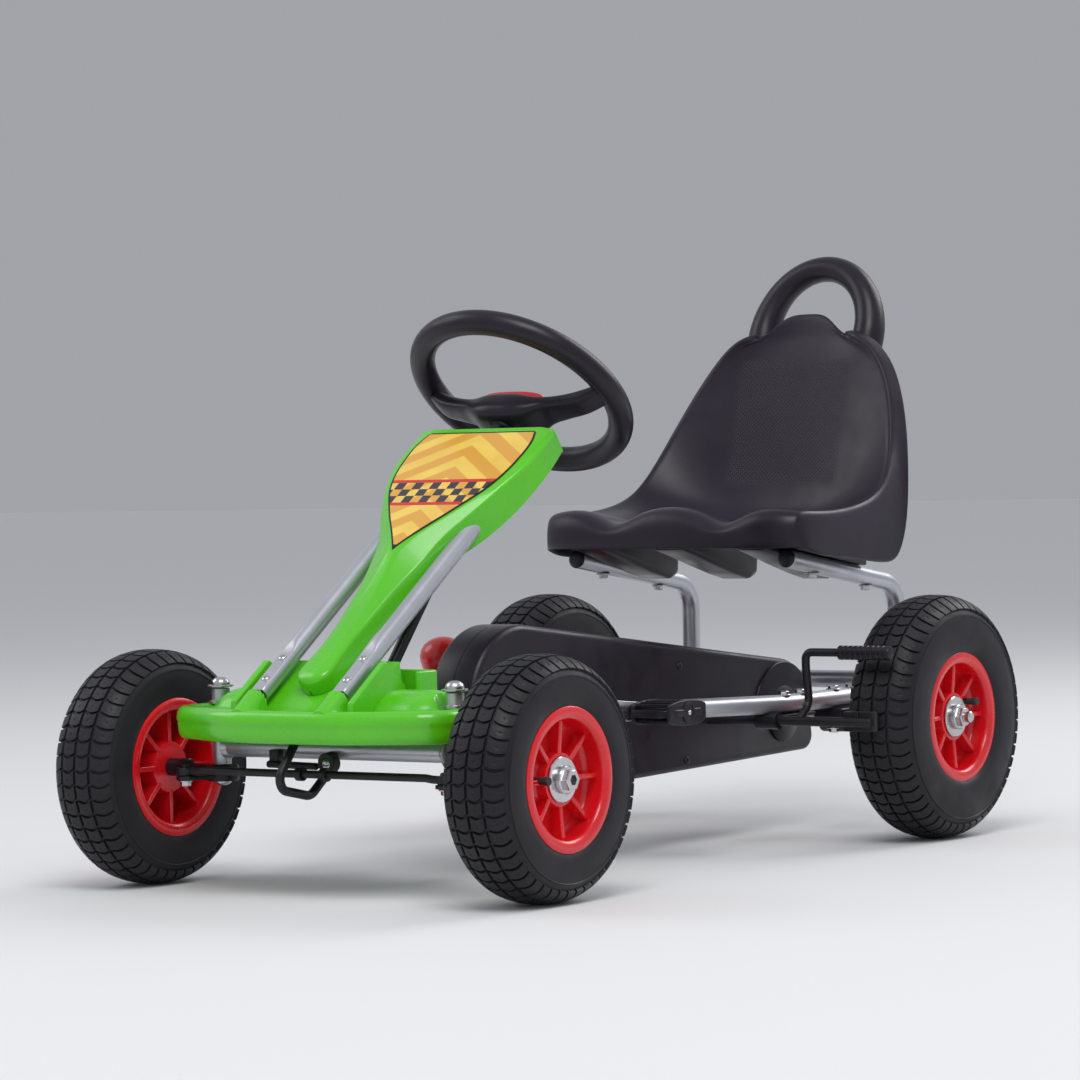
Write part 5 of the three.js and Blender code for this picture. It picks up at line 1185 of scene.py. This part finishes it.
def add_rails():
    corners = [
        (80, BEAM_Y + BEAM_RADIUS + 0.3, BEAM_Z), (80, FRONT_Y + 252, BEAM_Z),
        (RAIL_NARROW, FRONT_Y + 346, BEAM_Z + 14.5),
        (SEAT_TUBE_X, FRONT_Y + 585, RAIL_Z), (SEAT_TUBE_X, UPRIGHT_Y, RAIL_Z), *SEAT_TUBE,
    ]
    pair("tube_rail", pipe(bent(corners, [120, 120, 150, 34, 34], 10), RAIL_RADIUS, depth=16, sides=40),
         "frame", "silver_paint", "rail_{}")
    end = np.array(SEAT_TUBE[1], float)
    heading = unit(end - np.array(SEAT_TUBE[0]))
    plug = spun([(8.1, -17), (8.1, 0.2), (9.8, 0.3), (10.1, 1.2), (9.8, 2.6), (8.6, 3.8), (6, 4.6), (2, 4.9)],
                end, heading, 36)
    pair("end_plug", plug, "frame", "black_plastic", "rail_plug_{}")
    y, z = UPRIGHT_Y - 5.5, RAIL_Z + 12.2
    reach = SEAT_TUBE_X - RAIL_RADIUS - 0.3
    bar = rod((-reach, y, z), (reach, y, z), 9.8, 40, 0.2)
    build("cross_tube", bar, "frame", "silver_paint", "rear_cross_tube")
    spread = lambda y: RAIL_NARROW + (SEAT_TUBE_X - RAIL_NARROW) * clipped((y + 6) / 239)
    bolts = [hex_bolt((spread(y), y, RAIL_Z + RAIL_RADIUS - 1), (0, 0, 1)) for y in (235, 267, 334, 370)]
    bolts += [hex_bolt((spread(y), y, RAIL_Z - 14.4), (0, 0, -1), height=6) for y in (236, 268)]
    bolts += [hex_bolt((spread(y), y, RAIL_Z - 31), (0, 0, -1), height=6) for y in (334, 370)]
    bolts += [hex_bolt((SEAT_TUBE_X, y, seat_tube_z(y) - RAIL_RADIUS + 1), (0, 0, -1), 5, 6, 8)
              for y in (297, 405)]
    pair("rail_bolts", joined(*bolts), "frame", "bright_zinc")


# Crank, pedals, chain cover and rear axle

ARM = 128
ARM_DROP = math.radians(4.6)
ARM_INNER, ARM_OUTER = 110.5, 116
ARM_ROOT, ARM_TIP = 12.5, 9.5
PEDAL_INNER, PEDAL_OUTER, PEDAL_HALF = 117.2, 167.2, 34


def pedal_place(side):
    """The pedal's axle on one side, as (y, z)."""
    return CRANK_Y + side * ARM * math.cos(ARM_DROP), CRANK_Z - side * ARM * math.sin(ARM_DROP)


def add_crank():
    parts, zinc = [rod((-ARM_OUTER, CRANK_Y, CRANK_Z), (ARM_OUTER, CRANK_Y, CRANK_Z), 8, 36, 0.8)], []
    for side in (1, -1):
        tip = pedal_place(side)
        line = unit((tip[0] - CRANK_Y, tip[1] - CRANK_Z))
        across = np.array((-line[1], line[0]))
        outline = []
        for centre, radius, start in (((CRANK_Y, CRANK_Z), ARM_ROOT, math.pi / 2),
                                      (tip, ARM_TIP, -math.pi / 2)):
            for angle in np.linspace(start, start + math.pi, 16):
                heading = math.cos(angle) * line + math.sin(angle) * across
                outline.append(np.array(centre) + radius * heading)
        low, high = sorted((side * ARM_INNER, side * ARM_OUTER))
        parts.append(slab(outline, low, high, "x", 0.8))
        parts.append(rod((side * 111, *tip), (side * 164, *tip), 5, 28, 0.5))
        zinc.append(hex_bolt((side * 115.8, CRANK_Y, CRANK_Z), (side, 0, 0), 5.4, 4.6, 9))
    build("crank_arms", joined(*parts), "crank", "bright_zinc", "crank")
    build("crank_bolts", joined(*zinc), "crank", "bright_zinc")
    for name, side in (("left", 1), ("right", -1)):
        y, z = pedal_place(side)
        outline = rounded([
            (PEDAL_INNER, -PEDAL_HALF), (PEDAL_OUTER, -PEDAL_HALF), (PEDAL_OUTER, PEDAL_HALF),
            (PEDAL_INNER, PEDAL_HALF),
        ], [3, 16, 16, 3], 8)
        body = slab(outline, -4, 4, "z", 1.5)
        bulge = lambda along: 6 + 7 * math.sqrt(1 - (along / 34.5) ** 2)
        arc = [(along, bulge(along)) for along in np.linspace(-33.5, 33.5, 21)]
        lens = rounded(arc[::-1] + [(along, -up) for along, up in arc], 1)
        bars = [slab(lens, low, high, "x", 1.2) for low, high in ((PEDAL_INNER, 121.4), (161.2, 165.4))]
        for place in (-27, -18, -9, 0, 9, 18, 27):
            top = bulge(place) - 0.4
            for low, high in ((top - 3.6, top), (-top, 3.6 - top)):
                bars.append(box((119.5, place - 1.7, low), (163, place + 1.7, high), 1.2, 0.8))
        collar = spun([(10, -0.4), (11, 0.4), (11, 1.6), (9, 2.4)], (165, 0, 0), (1, 0, 0), 36)
        end = dome((167.4, 0, 0), (1, 0, 0), 2.6, 1.6)
        pedal = f"pedal_{name}"
        for label, shape, slot, nodes in (
                ("tread_pedal", joined(body, *bars, collar), "black_plastic", [pedal]),
                ("pedal_cap", end, "bright_zinc", [])):
            shape = moved(shape, (0, y, z))
            build(f"{label}_{name}", shape if side > 0 else flipped(shape), pedal, slot, *nodes)


COVER_ARC_Y = CRANK_Y - 12
COVER_SEAM = 32
COVER_LEFT, COVER_RIGHT = 60, 4
COVER_FRONT_RADIUS, COVER_REAR_RADIUS = 85.5, 60
COLLAR_X = 106
AXLE_BLOCK = (119, 155)
CRANK_BLOCK = (65, 95)


def chain_outline(drawn):
    """The side outline of the chain cover as (y, z) points, drawn in by a distance."""
    front, back = COVER_FRONT_RADIUS - drawn, COVER_REAR_RADIUS - drawn
    distance = math.hypot(REAR_Y - COVER_ARC_Y, REAR_RADIUS - CRANK_Z)
    lean = math.atan2(REAR_RADIUS - CRANK_Z, REAR_Y - COVER_ARC_Y)
    wrap = math.acos((front - back) / distance)
    points = [(COVER_ARC_Y + front * math.cos(a), CRANK_Z + front * math.sin(a))
              for a in np.linspace(lean + wrap, 1.5 * math.pi, 48)]
    belly, corner = (REAR_Y - 293, REAR_RADIUS - 51 + drawn), (REAR_Y + 65 - drawn, REAR_RADIUS - 43 + drawn)
    path = [(0, *points[-1]), (0, *belly), (0, *corner), (0, REAR_Y + back, REAR_RADIUS)]
    points += [tuple(p) for p in bent(path, [300, max(16 - drawn, 4)], 10)[1:-1, 1:]]
    points += [(REAR_Y + back * math.cos(a), REAR_RADIUS + back * math.sin(a))
               for a in np.linspace(0, lean + wrap, 30)]
    return np.array(points)


def disc_outline(radius):
    """A circle round the rear axle, kept inside the cover's side outline."""
    centre = np.array((REAR_Y, REAR_RADIUS))
    edge = chain_outline(1.6) - centre
    ahead = np.roll(edge, -1, axis=0) - edge
    points = []
    for angle in full_turn(120):
        heading = np.array((math.cos(angle), math.sin(angle)))
        cross = heading[0] * ahead[:, 1] - heading[1] * ahead[:, 0]
        cross = np.where(np.abs(cross) < 1e-9, 1e-9, cross)
        reach = (edge[:, 0] * ahead[:, 1] - edge[:, 1] * ahead[:, 0]) / cross
        share = (edge[:, 0] * heading[1] - edge[:, 1] * heading[0]) / cross
        hits = reach[(share >= 0) & (share <= 1) & (reach > 0)]
        spot = centre + min(radius, hits.min() if len(hits) else radius) * heading
        points.append(np.maximum(spot, (0, REAR_RADIUS - 8)))
    return points


def chain_cover_half(seam, face):
    """A shell that is open at the seam and rounded into its outer face."""
    side = 1 if face > seam else -1
    levels = [(2.5, face - side * 2.5), (2.5, seam), (0.6, seam), (0, seam + side * 0.6)]
    edge = 7.0
    levels += [(edge * (1 - math.sin(a)), face - side * edge * (1 - math.cos(a)))
               for a in np.linspace(math.pi / 2, 0, 7)]
    return stack([lifted(chain_outline(drawn), x, "x") for drawn, x in levels])


def add_drive():
    left = chain_cover_half(COVER_SEAM + 0.3, COVER_LEFT)
    right = chain_cover_half(COVER_SEAM - 0.3, COVER_RIGHT)
    # A raised round plate over the rear sprocket and a ring round the crank
    disc = slab(disc_outline(57), COVER_LEFT - 3, COVER_LEFT + 2.6, "x", 2)
    bulge = spun([(31, 2), (29, 3.4), (18, 6), (16, 6.4), (9, 6.4)], (COVER_LEFT, REAR_Y, REAR_RADIUS),
                 (1, 0, 0), 48)
    ring = looped([(12.5, -2), (18, -2), (18, 1.6), (16.8, 2.4), (13.6, 2.4), (12.5, 1.6)],
                  (COVER_LEFT, CRANK_Y, CRANK_Z), (1, 0, 0), 48)
    lug = box((56, CRANK_Y - 34, BEAM_Z - 9), (69.6, CRANK_Y - 8, BEAM_Z + 9), 2, 1, "x")
    build("cover_left", joined(left, disc, bulge, ring, lug), "frame", "black_plastic", "chain_cover_left")
    build("cover_right", right, "frame", "black_plastic", "chain_cover_right")
    screws = ((COVER_ARC_Y - 62, CRANK_Z + 36), (COVER_ARC_Y - 30, CRANK_Z - 66),
              (REAR_Y - 200, REAR_RADIUS + 63), (REAR_Y - 190, REAR_RADIUS - 38))
    heads = [dome((COVER_LEFT, y, z), (1, 0, 0), 4.2, 2.2) for y, z in screws]
    build("cover_screws", joined(*heads), "frame", "black_steel")
    end = REAR_AXLE_END
    ends = [spun([(4.4, -1), (6, 0.4), (6, 30)], (side * end, REAR_Y, REAR_RADIUS), (-side, 0, 0), 28)
            for side in (1, -1)]
    bar = rod((-end + 20, REAR_Y, REAR_RADIUS), (end - 20, REAR_Y, REAR_RADIUS), 6, 32, 0.4)
    collars = [spun([(8, 0), (10, 0.8), (10, 9), (8, 10)], (side * COLLAR_X, REAR_Y, REAR_RADIUS),
                    (side, 0, 0), 36)
               for side in (1, -1)]
    build("axle_bar", joined(bar, *ends, *collars), "rear_axle", "bright_zinc", "rear_axle")
    top = RAIL_Z - RAIL_RADIUS - 0.3
    outline = rounded([
        (REAR_Y - 30, top), (REAR_Y - 30, top - 9), (REAR_Y - 17, REAR_RADIUS - 18),
        (REAR_Y + 17, REAR_RADIUS - 18), (REAR_Y + 30, top - 9), (REAR_Y + 30, top),
    ], [2, 4, 12, 12, 4, 2])
    block = slab(outline, *AXLE_BLOCK, "x", 2)
    pair("bearing_block", block, "frame", "black_plastic", "axle_bearing_{}")
    block = slab(rounded([
        (CRANK_Y - 19, BEAM_Z + 10.3), (CRANK_Y - 19, CRANK_Z + 2), (CRANK_Y - 12, CRANK_Z + 15),
        (CRANK_Y + 6, CRANK_Z + 15), (CRANK_Y + 6, BEAM_Z + 10.3),
    ], [2, 8, 8, 3, 2]), *CRANK_BLOCK, "x", 2)
    pair("crank_block", block, "frame", "black_plastic", "crank_bearing_{}")


# Hand brake and drive lever

BRAKE_END = 263
PAD_INNER = 226
LEVER_X = 173
GRIP_INNER = 215
LEVER_RISE = 71.9
BRACKET = (123, 149)


def knob_place():
    """The foot of the drive lever's knob and the way it points."""
    low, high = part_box("gear_knob")
    centre = [(low[0] + high[0]) / 2 / MM, ((low[1] + high[1]) / 2 - MID_Y) / MM, (low[2] + high[2]) / 2 / MM]
    heading = np.array((0, -math.sin(KNOB_LEAN), math.cos(KNOB_LEAN)))
    return np.array(centre) - heading * 26, heading


def add_controls():
    y, z = BRAKE_Y, BRAKE_Z
    bar = rod((-BRAKE_END, y, z), (BRAKE_END, y, z), 5, 28, 0.8)
    top = z + LEVER_RISE
    corners = [(LEVER_X, y, z), (LEVER_X, y + 22, z + 17), (LEVER_X, y + 17, z + 57), (LEVER_X, y + 17, top),
               (277, y + 17, top)]
    lever = swept(bent(corners, [16, 26, 20, 12], 8), 4.4, 24, tip=0.5)
    holder = box((PAD_INNER, y + 3, z - 10), (BRAKE_END, y + 7, z + 11), 2.5, 1)
    gusset = slab([(y + 1, z + 4), (y + 1, z + 11), (y + 5, z + 11), (y + 5, z + 4)], 240, 246, "x", 0.6)
    build("brake_lever", joined(bar, lever, both(holder), both(gusset)), "brake", "black_steel", "brake_bar")
    grip = [(6.4, 0), (7.6, 1)]
    for k in range(9):
        at = 5 + 6.2 * k
        grip += [(7.6, at), (6.7, at + 0.8), (6.7, at + 1.8), (7.6, at + 2.6)]
    grip += [(7.6, 61.5), (6.8, 63.2), (4, 64)]
    handle = spun(grip, (GRIP_INNER, y + 17, top), (1, 0, 0), 32)
    build("lever_grip", handle, "brake", "black_plastic", "brake_grip", smooth=30)
    shoe = box((PAD_INNER, y + 7.3, z - 10), (BRAKE_END, y + 13.3, z + 11), 2, 1.2)
    pair("shoe", shoe, "brake", "pad_rubber", "brake_pad_{}")
    top = RAIL_Z - RAIL_RADIUS - 0.3
    inner, outer = BRACKET
    plate = box((inner, y - 9, top - 3.5), (outer, y + 74, top), 3, 0.8)
    length = outer - inner
    tube = looped([(5.6, 0), (9, 0), (9, length), (5.6, length)], (inner, y, z), (1, 0, 0), 32)
    pair("bar_bracket", joined(plate, tube), "frame", "black_steel", "brake_bracket_{}")
    knob_foot, knob_heading = knob_place()
    profile = [(8, 0), (10.4, 0.8), (12, 3), (14.5, 8), (19, 15), (22.2, 22), (23.6, 29), (23.4, 35),
               (21.4, 41), (17.5, 46), (12, 49.6), (6.5, 51.4), (2, 52)]
    build("lever_ball", spun(profile, knob_foot, knob_heading, 48), "gear_lever", "red_plastic", "gear_knob")


# Seat

# Each row crosses the seat: the middle's place (y, z), the rim's (x, y, z), the skirt's edge (x, y, z)
# and how sharply the middle turns up into the rim
SEAT_ROWS = [
    ((217.5, 314.5), (158, 229, 314.5), (163, 236, 314), 9),
    ((216.5, 330), (158, 228, 327), (164, 237, 314), 9),
    ((217.5, 344), (158, 229, 339), (165, 238, 313), 9),
    ((223, 353.5), (159, 233, 347), (166, 240, 312), 8),
    ((234, 357), (161, 244, 350), (167.5, 248, 309), 5),
    ((252, 353), (163, 262, 349.5), (168, 262, 305.4), 3),
    ((275, 345), (164, 290, 349), (168, 285, 303.5), 2.4),
    ((320, 332), (164, 330, 351.5), (168, 325, 300), 2.4),
    ((370, 325), (163.5, 368, 358), (168, 365, 295), 2.4),
    ((415, 327), (162, 394, 367.5), (168, 404, 291.5), 2.4),
    ((440, 338), (160, 413, 380), (167.5, 424, 299), 2.4),
    ((455, 362), (155, 432, 400), (167, 444, 335), 2.4),
    ((468, 405), (147, 449, 426), (164, 455, 395), 2.4),
    ((481, 450), (138, 464.5, 452), (150, 476, 444), 2.4),
    ((493, 490), (124, 483, 487), (133, 494, 484), 2.4),
    ((503, 522), (105, 494, 518), (114, 506.5, 516), 2.4),
    ((513, 541), (87, 497, 536), (92, 507, 537), 2.4),
    ((516, 546), (72, 499, 543), (76, 508, 544), 2.4),
    ((520, 549), (56, 503, 546.5), (59, 512, 548), 2.4),
]
SEAT_SKIRT_STEPS = (0, 0.06, 0.5, 0.94, 1)
SEAT_COLUMNS = (0, 0.12, 0.24, 0.36, 0.48, 0.6, 0.7, 0.79, 0.87, 0.93, 0.965, 0.985)
THIGH_PLACE = 71
THIGH_WIDTH = 31
THIGH_HOLLOW = 19
SEAT_WALL = 4.5
# The thigh hollows fade out toward this y at the back and, ahead of the front line, toward this height
HOLLOW_BACK, HOLLOW_BACK_FADE = 346, 105
HOLLOW_FRONT, HOLLOW_FRONT_TOP = 240, 338
HOLLOW_LIP, HOLLOW_LIP_FADE = 326, 24
# The backrest's crest: half its width and how far it lifts the last two rows
CREST_HALF = 42
CREST_RISES = {-2: 10, -1: 22}
HANDLE_HALF, HANDLE_BASE, HANDLE_RISE, HANDLE_LEAN = 70, 548, 74.5, 0.33
HANDLE_RADIUS, HANDLE_SWELL = 14.5, 3.5
LOBE_HALF = 22
PAD_HALF = 11


def seat_surface():
    rows = []
    for number, ((mid_y, mid_z), rim, skirt, power) in enumerate(SEAT_ROWS):
        crest = CREST_RISES.get(number - len(SEAT_ROWS), 0)
        half = []
        for share in SEAT_COLUMNS:
            mix = share ** power
            x = rim[0] * share
            y = mid_y + (rim[1] - mid_y) * mix
            z = mid_z + (rim[2] - mid_z) * mix + crest * math.exp(-((x / CREST_HALF) ** 4))
            fade = 0
            if z > HOLLOW_FRONT_TOP or y > HOLLOW_FRONT:
                fade = clipped((HOLLOW_BACK - y) / HOLLOW_BACK_FADE)
            if y < HOLLOW_FRONT:
                fade = min(fade, clipped((z - HOLLOW_LIP) / HOLLOW_LIP_FADE))
            valley = math.exp(-(((x - THIGH_PLACE) / THIGH_WIDTH) ** 2))
            half.append((x, y, z - THIGH_HOLLOW * valley * fade))
        rim, skirt = np.array(rim, float), np.array(skirt, float)
        for share in SEAT_SKIRT_STEPS:
            half.append(tuple(rim + (skirt - rim) * share))
        rows.append([(-x, y, z) for x, y, z in reversed(half[1:])] + half)
    return np.array(rows)


def add_seat():
    rows = seat_surface()
    piece = build("moulded_seat", grid(rows), "frame", "black_plastic", "seat", smooth=180,
                  material=SEAT_MATERIAL)
    wall = piece.modifiers.new("wall", "SOLIDIFY")
    wall.thickness = SEAT_WALL * MM
    wall.offset = -1
    smooth = piece.modifiers.new("smooth", "SUBSURF")
    smooth.levels = 2
    smooth.render_levels = 2
    foot = [((70, 502, 486), 5), ((70.5, 507, 493), 9.5), ((71, 515, 503), 14.5)]
    path, radii = [list(column) for column in zip(*foot)]
    for degrees in np.linspace(-24, 204, 45):
        angle = math.radians(degrees)
        rise = math.sin(angle)
        z = HANDLE_BASE + HANDLE_RISE * rise
        x = HANDLE_HALF * math.cos(angle)
        if rise <= 0:
            x = math.copysign(HANDLE_HALF + 3 * rise, x)
        path.append((x, 535 + HANDLE_LEAN * (z - 550), z))
        radii.append(HANDLE_RADIUS + HANDLE_SWELL * (1 - max(rise, 0)) ** 1.5)
    path += [(-x, y, z) for (x, y, z), _ in reversed(foot)]
    radii += [radius for _, radius in reversed(foot)]
    build("seat_handle", swept(path, radii, 40, tip=4), "frame", "black_plastic")
    lobes = []
    for x, top in ((-105, 333), (0, 322), (105, 333)):
        wedge = [(222, 314), (250, 306), (290, 294), (330, 283), (356, 277), (370, 282), (374, top),
                 (222, top)]
        lobes.append(slab(rounded(wedge, 8), x - LOBE_HALF, x + LOBE_HALF, "x", 7))
    pad = [(y, seat_tube_z(y) + RAIL_RADIUS + 0.3) for y in (252, 290, 340, 392)] + [(392, 330), (252, 330)]
    for x in (-SEAT_TUBE_X, SEAT_TUBE_X):
        lobes.append(slab(rounded(pad, 2), x - PAD_HALF, x + PAD_HALF, "x", 2))
    build("seat_feet", joined(*lobes), "frame", "black_plastic")


SHEET_MATERIAL = sheet_material()
SEAT_MATERIAL = seat_material()
add_camera()
add_world()
add_floor()
for lamp in LAMPS:
    add_light(*lamp)
bpy.context.scene.view_settings.view_transform = "Standard"

add_wheels()
add_tower()
add_tray()
add_front_axle()
add_steering()
add_rails()
add_crank()
add_drive()
add_controls()
add_seat()

for name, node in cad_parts.items():
    slot = node.get("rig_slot") or (node.data.materials[0].name if node.data.materials else "")
    if slot in MATERIALS:
        node.data.materials.clear()
        node.data.materials.append(MATERIALS[slot])
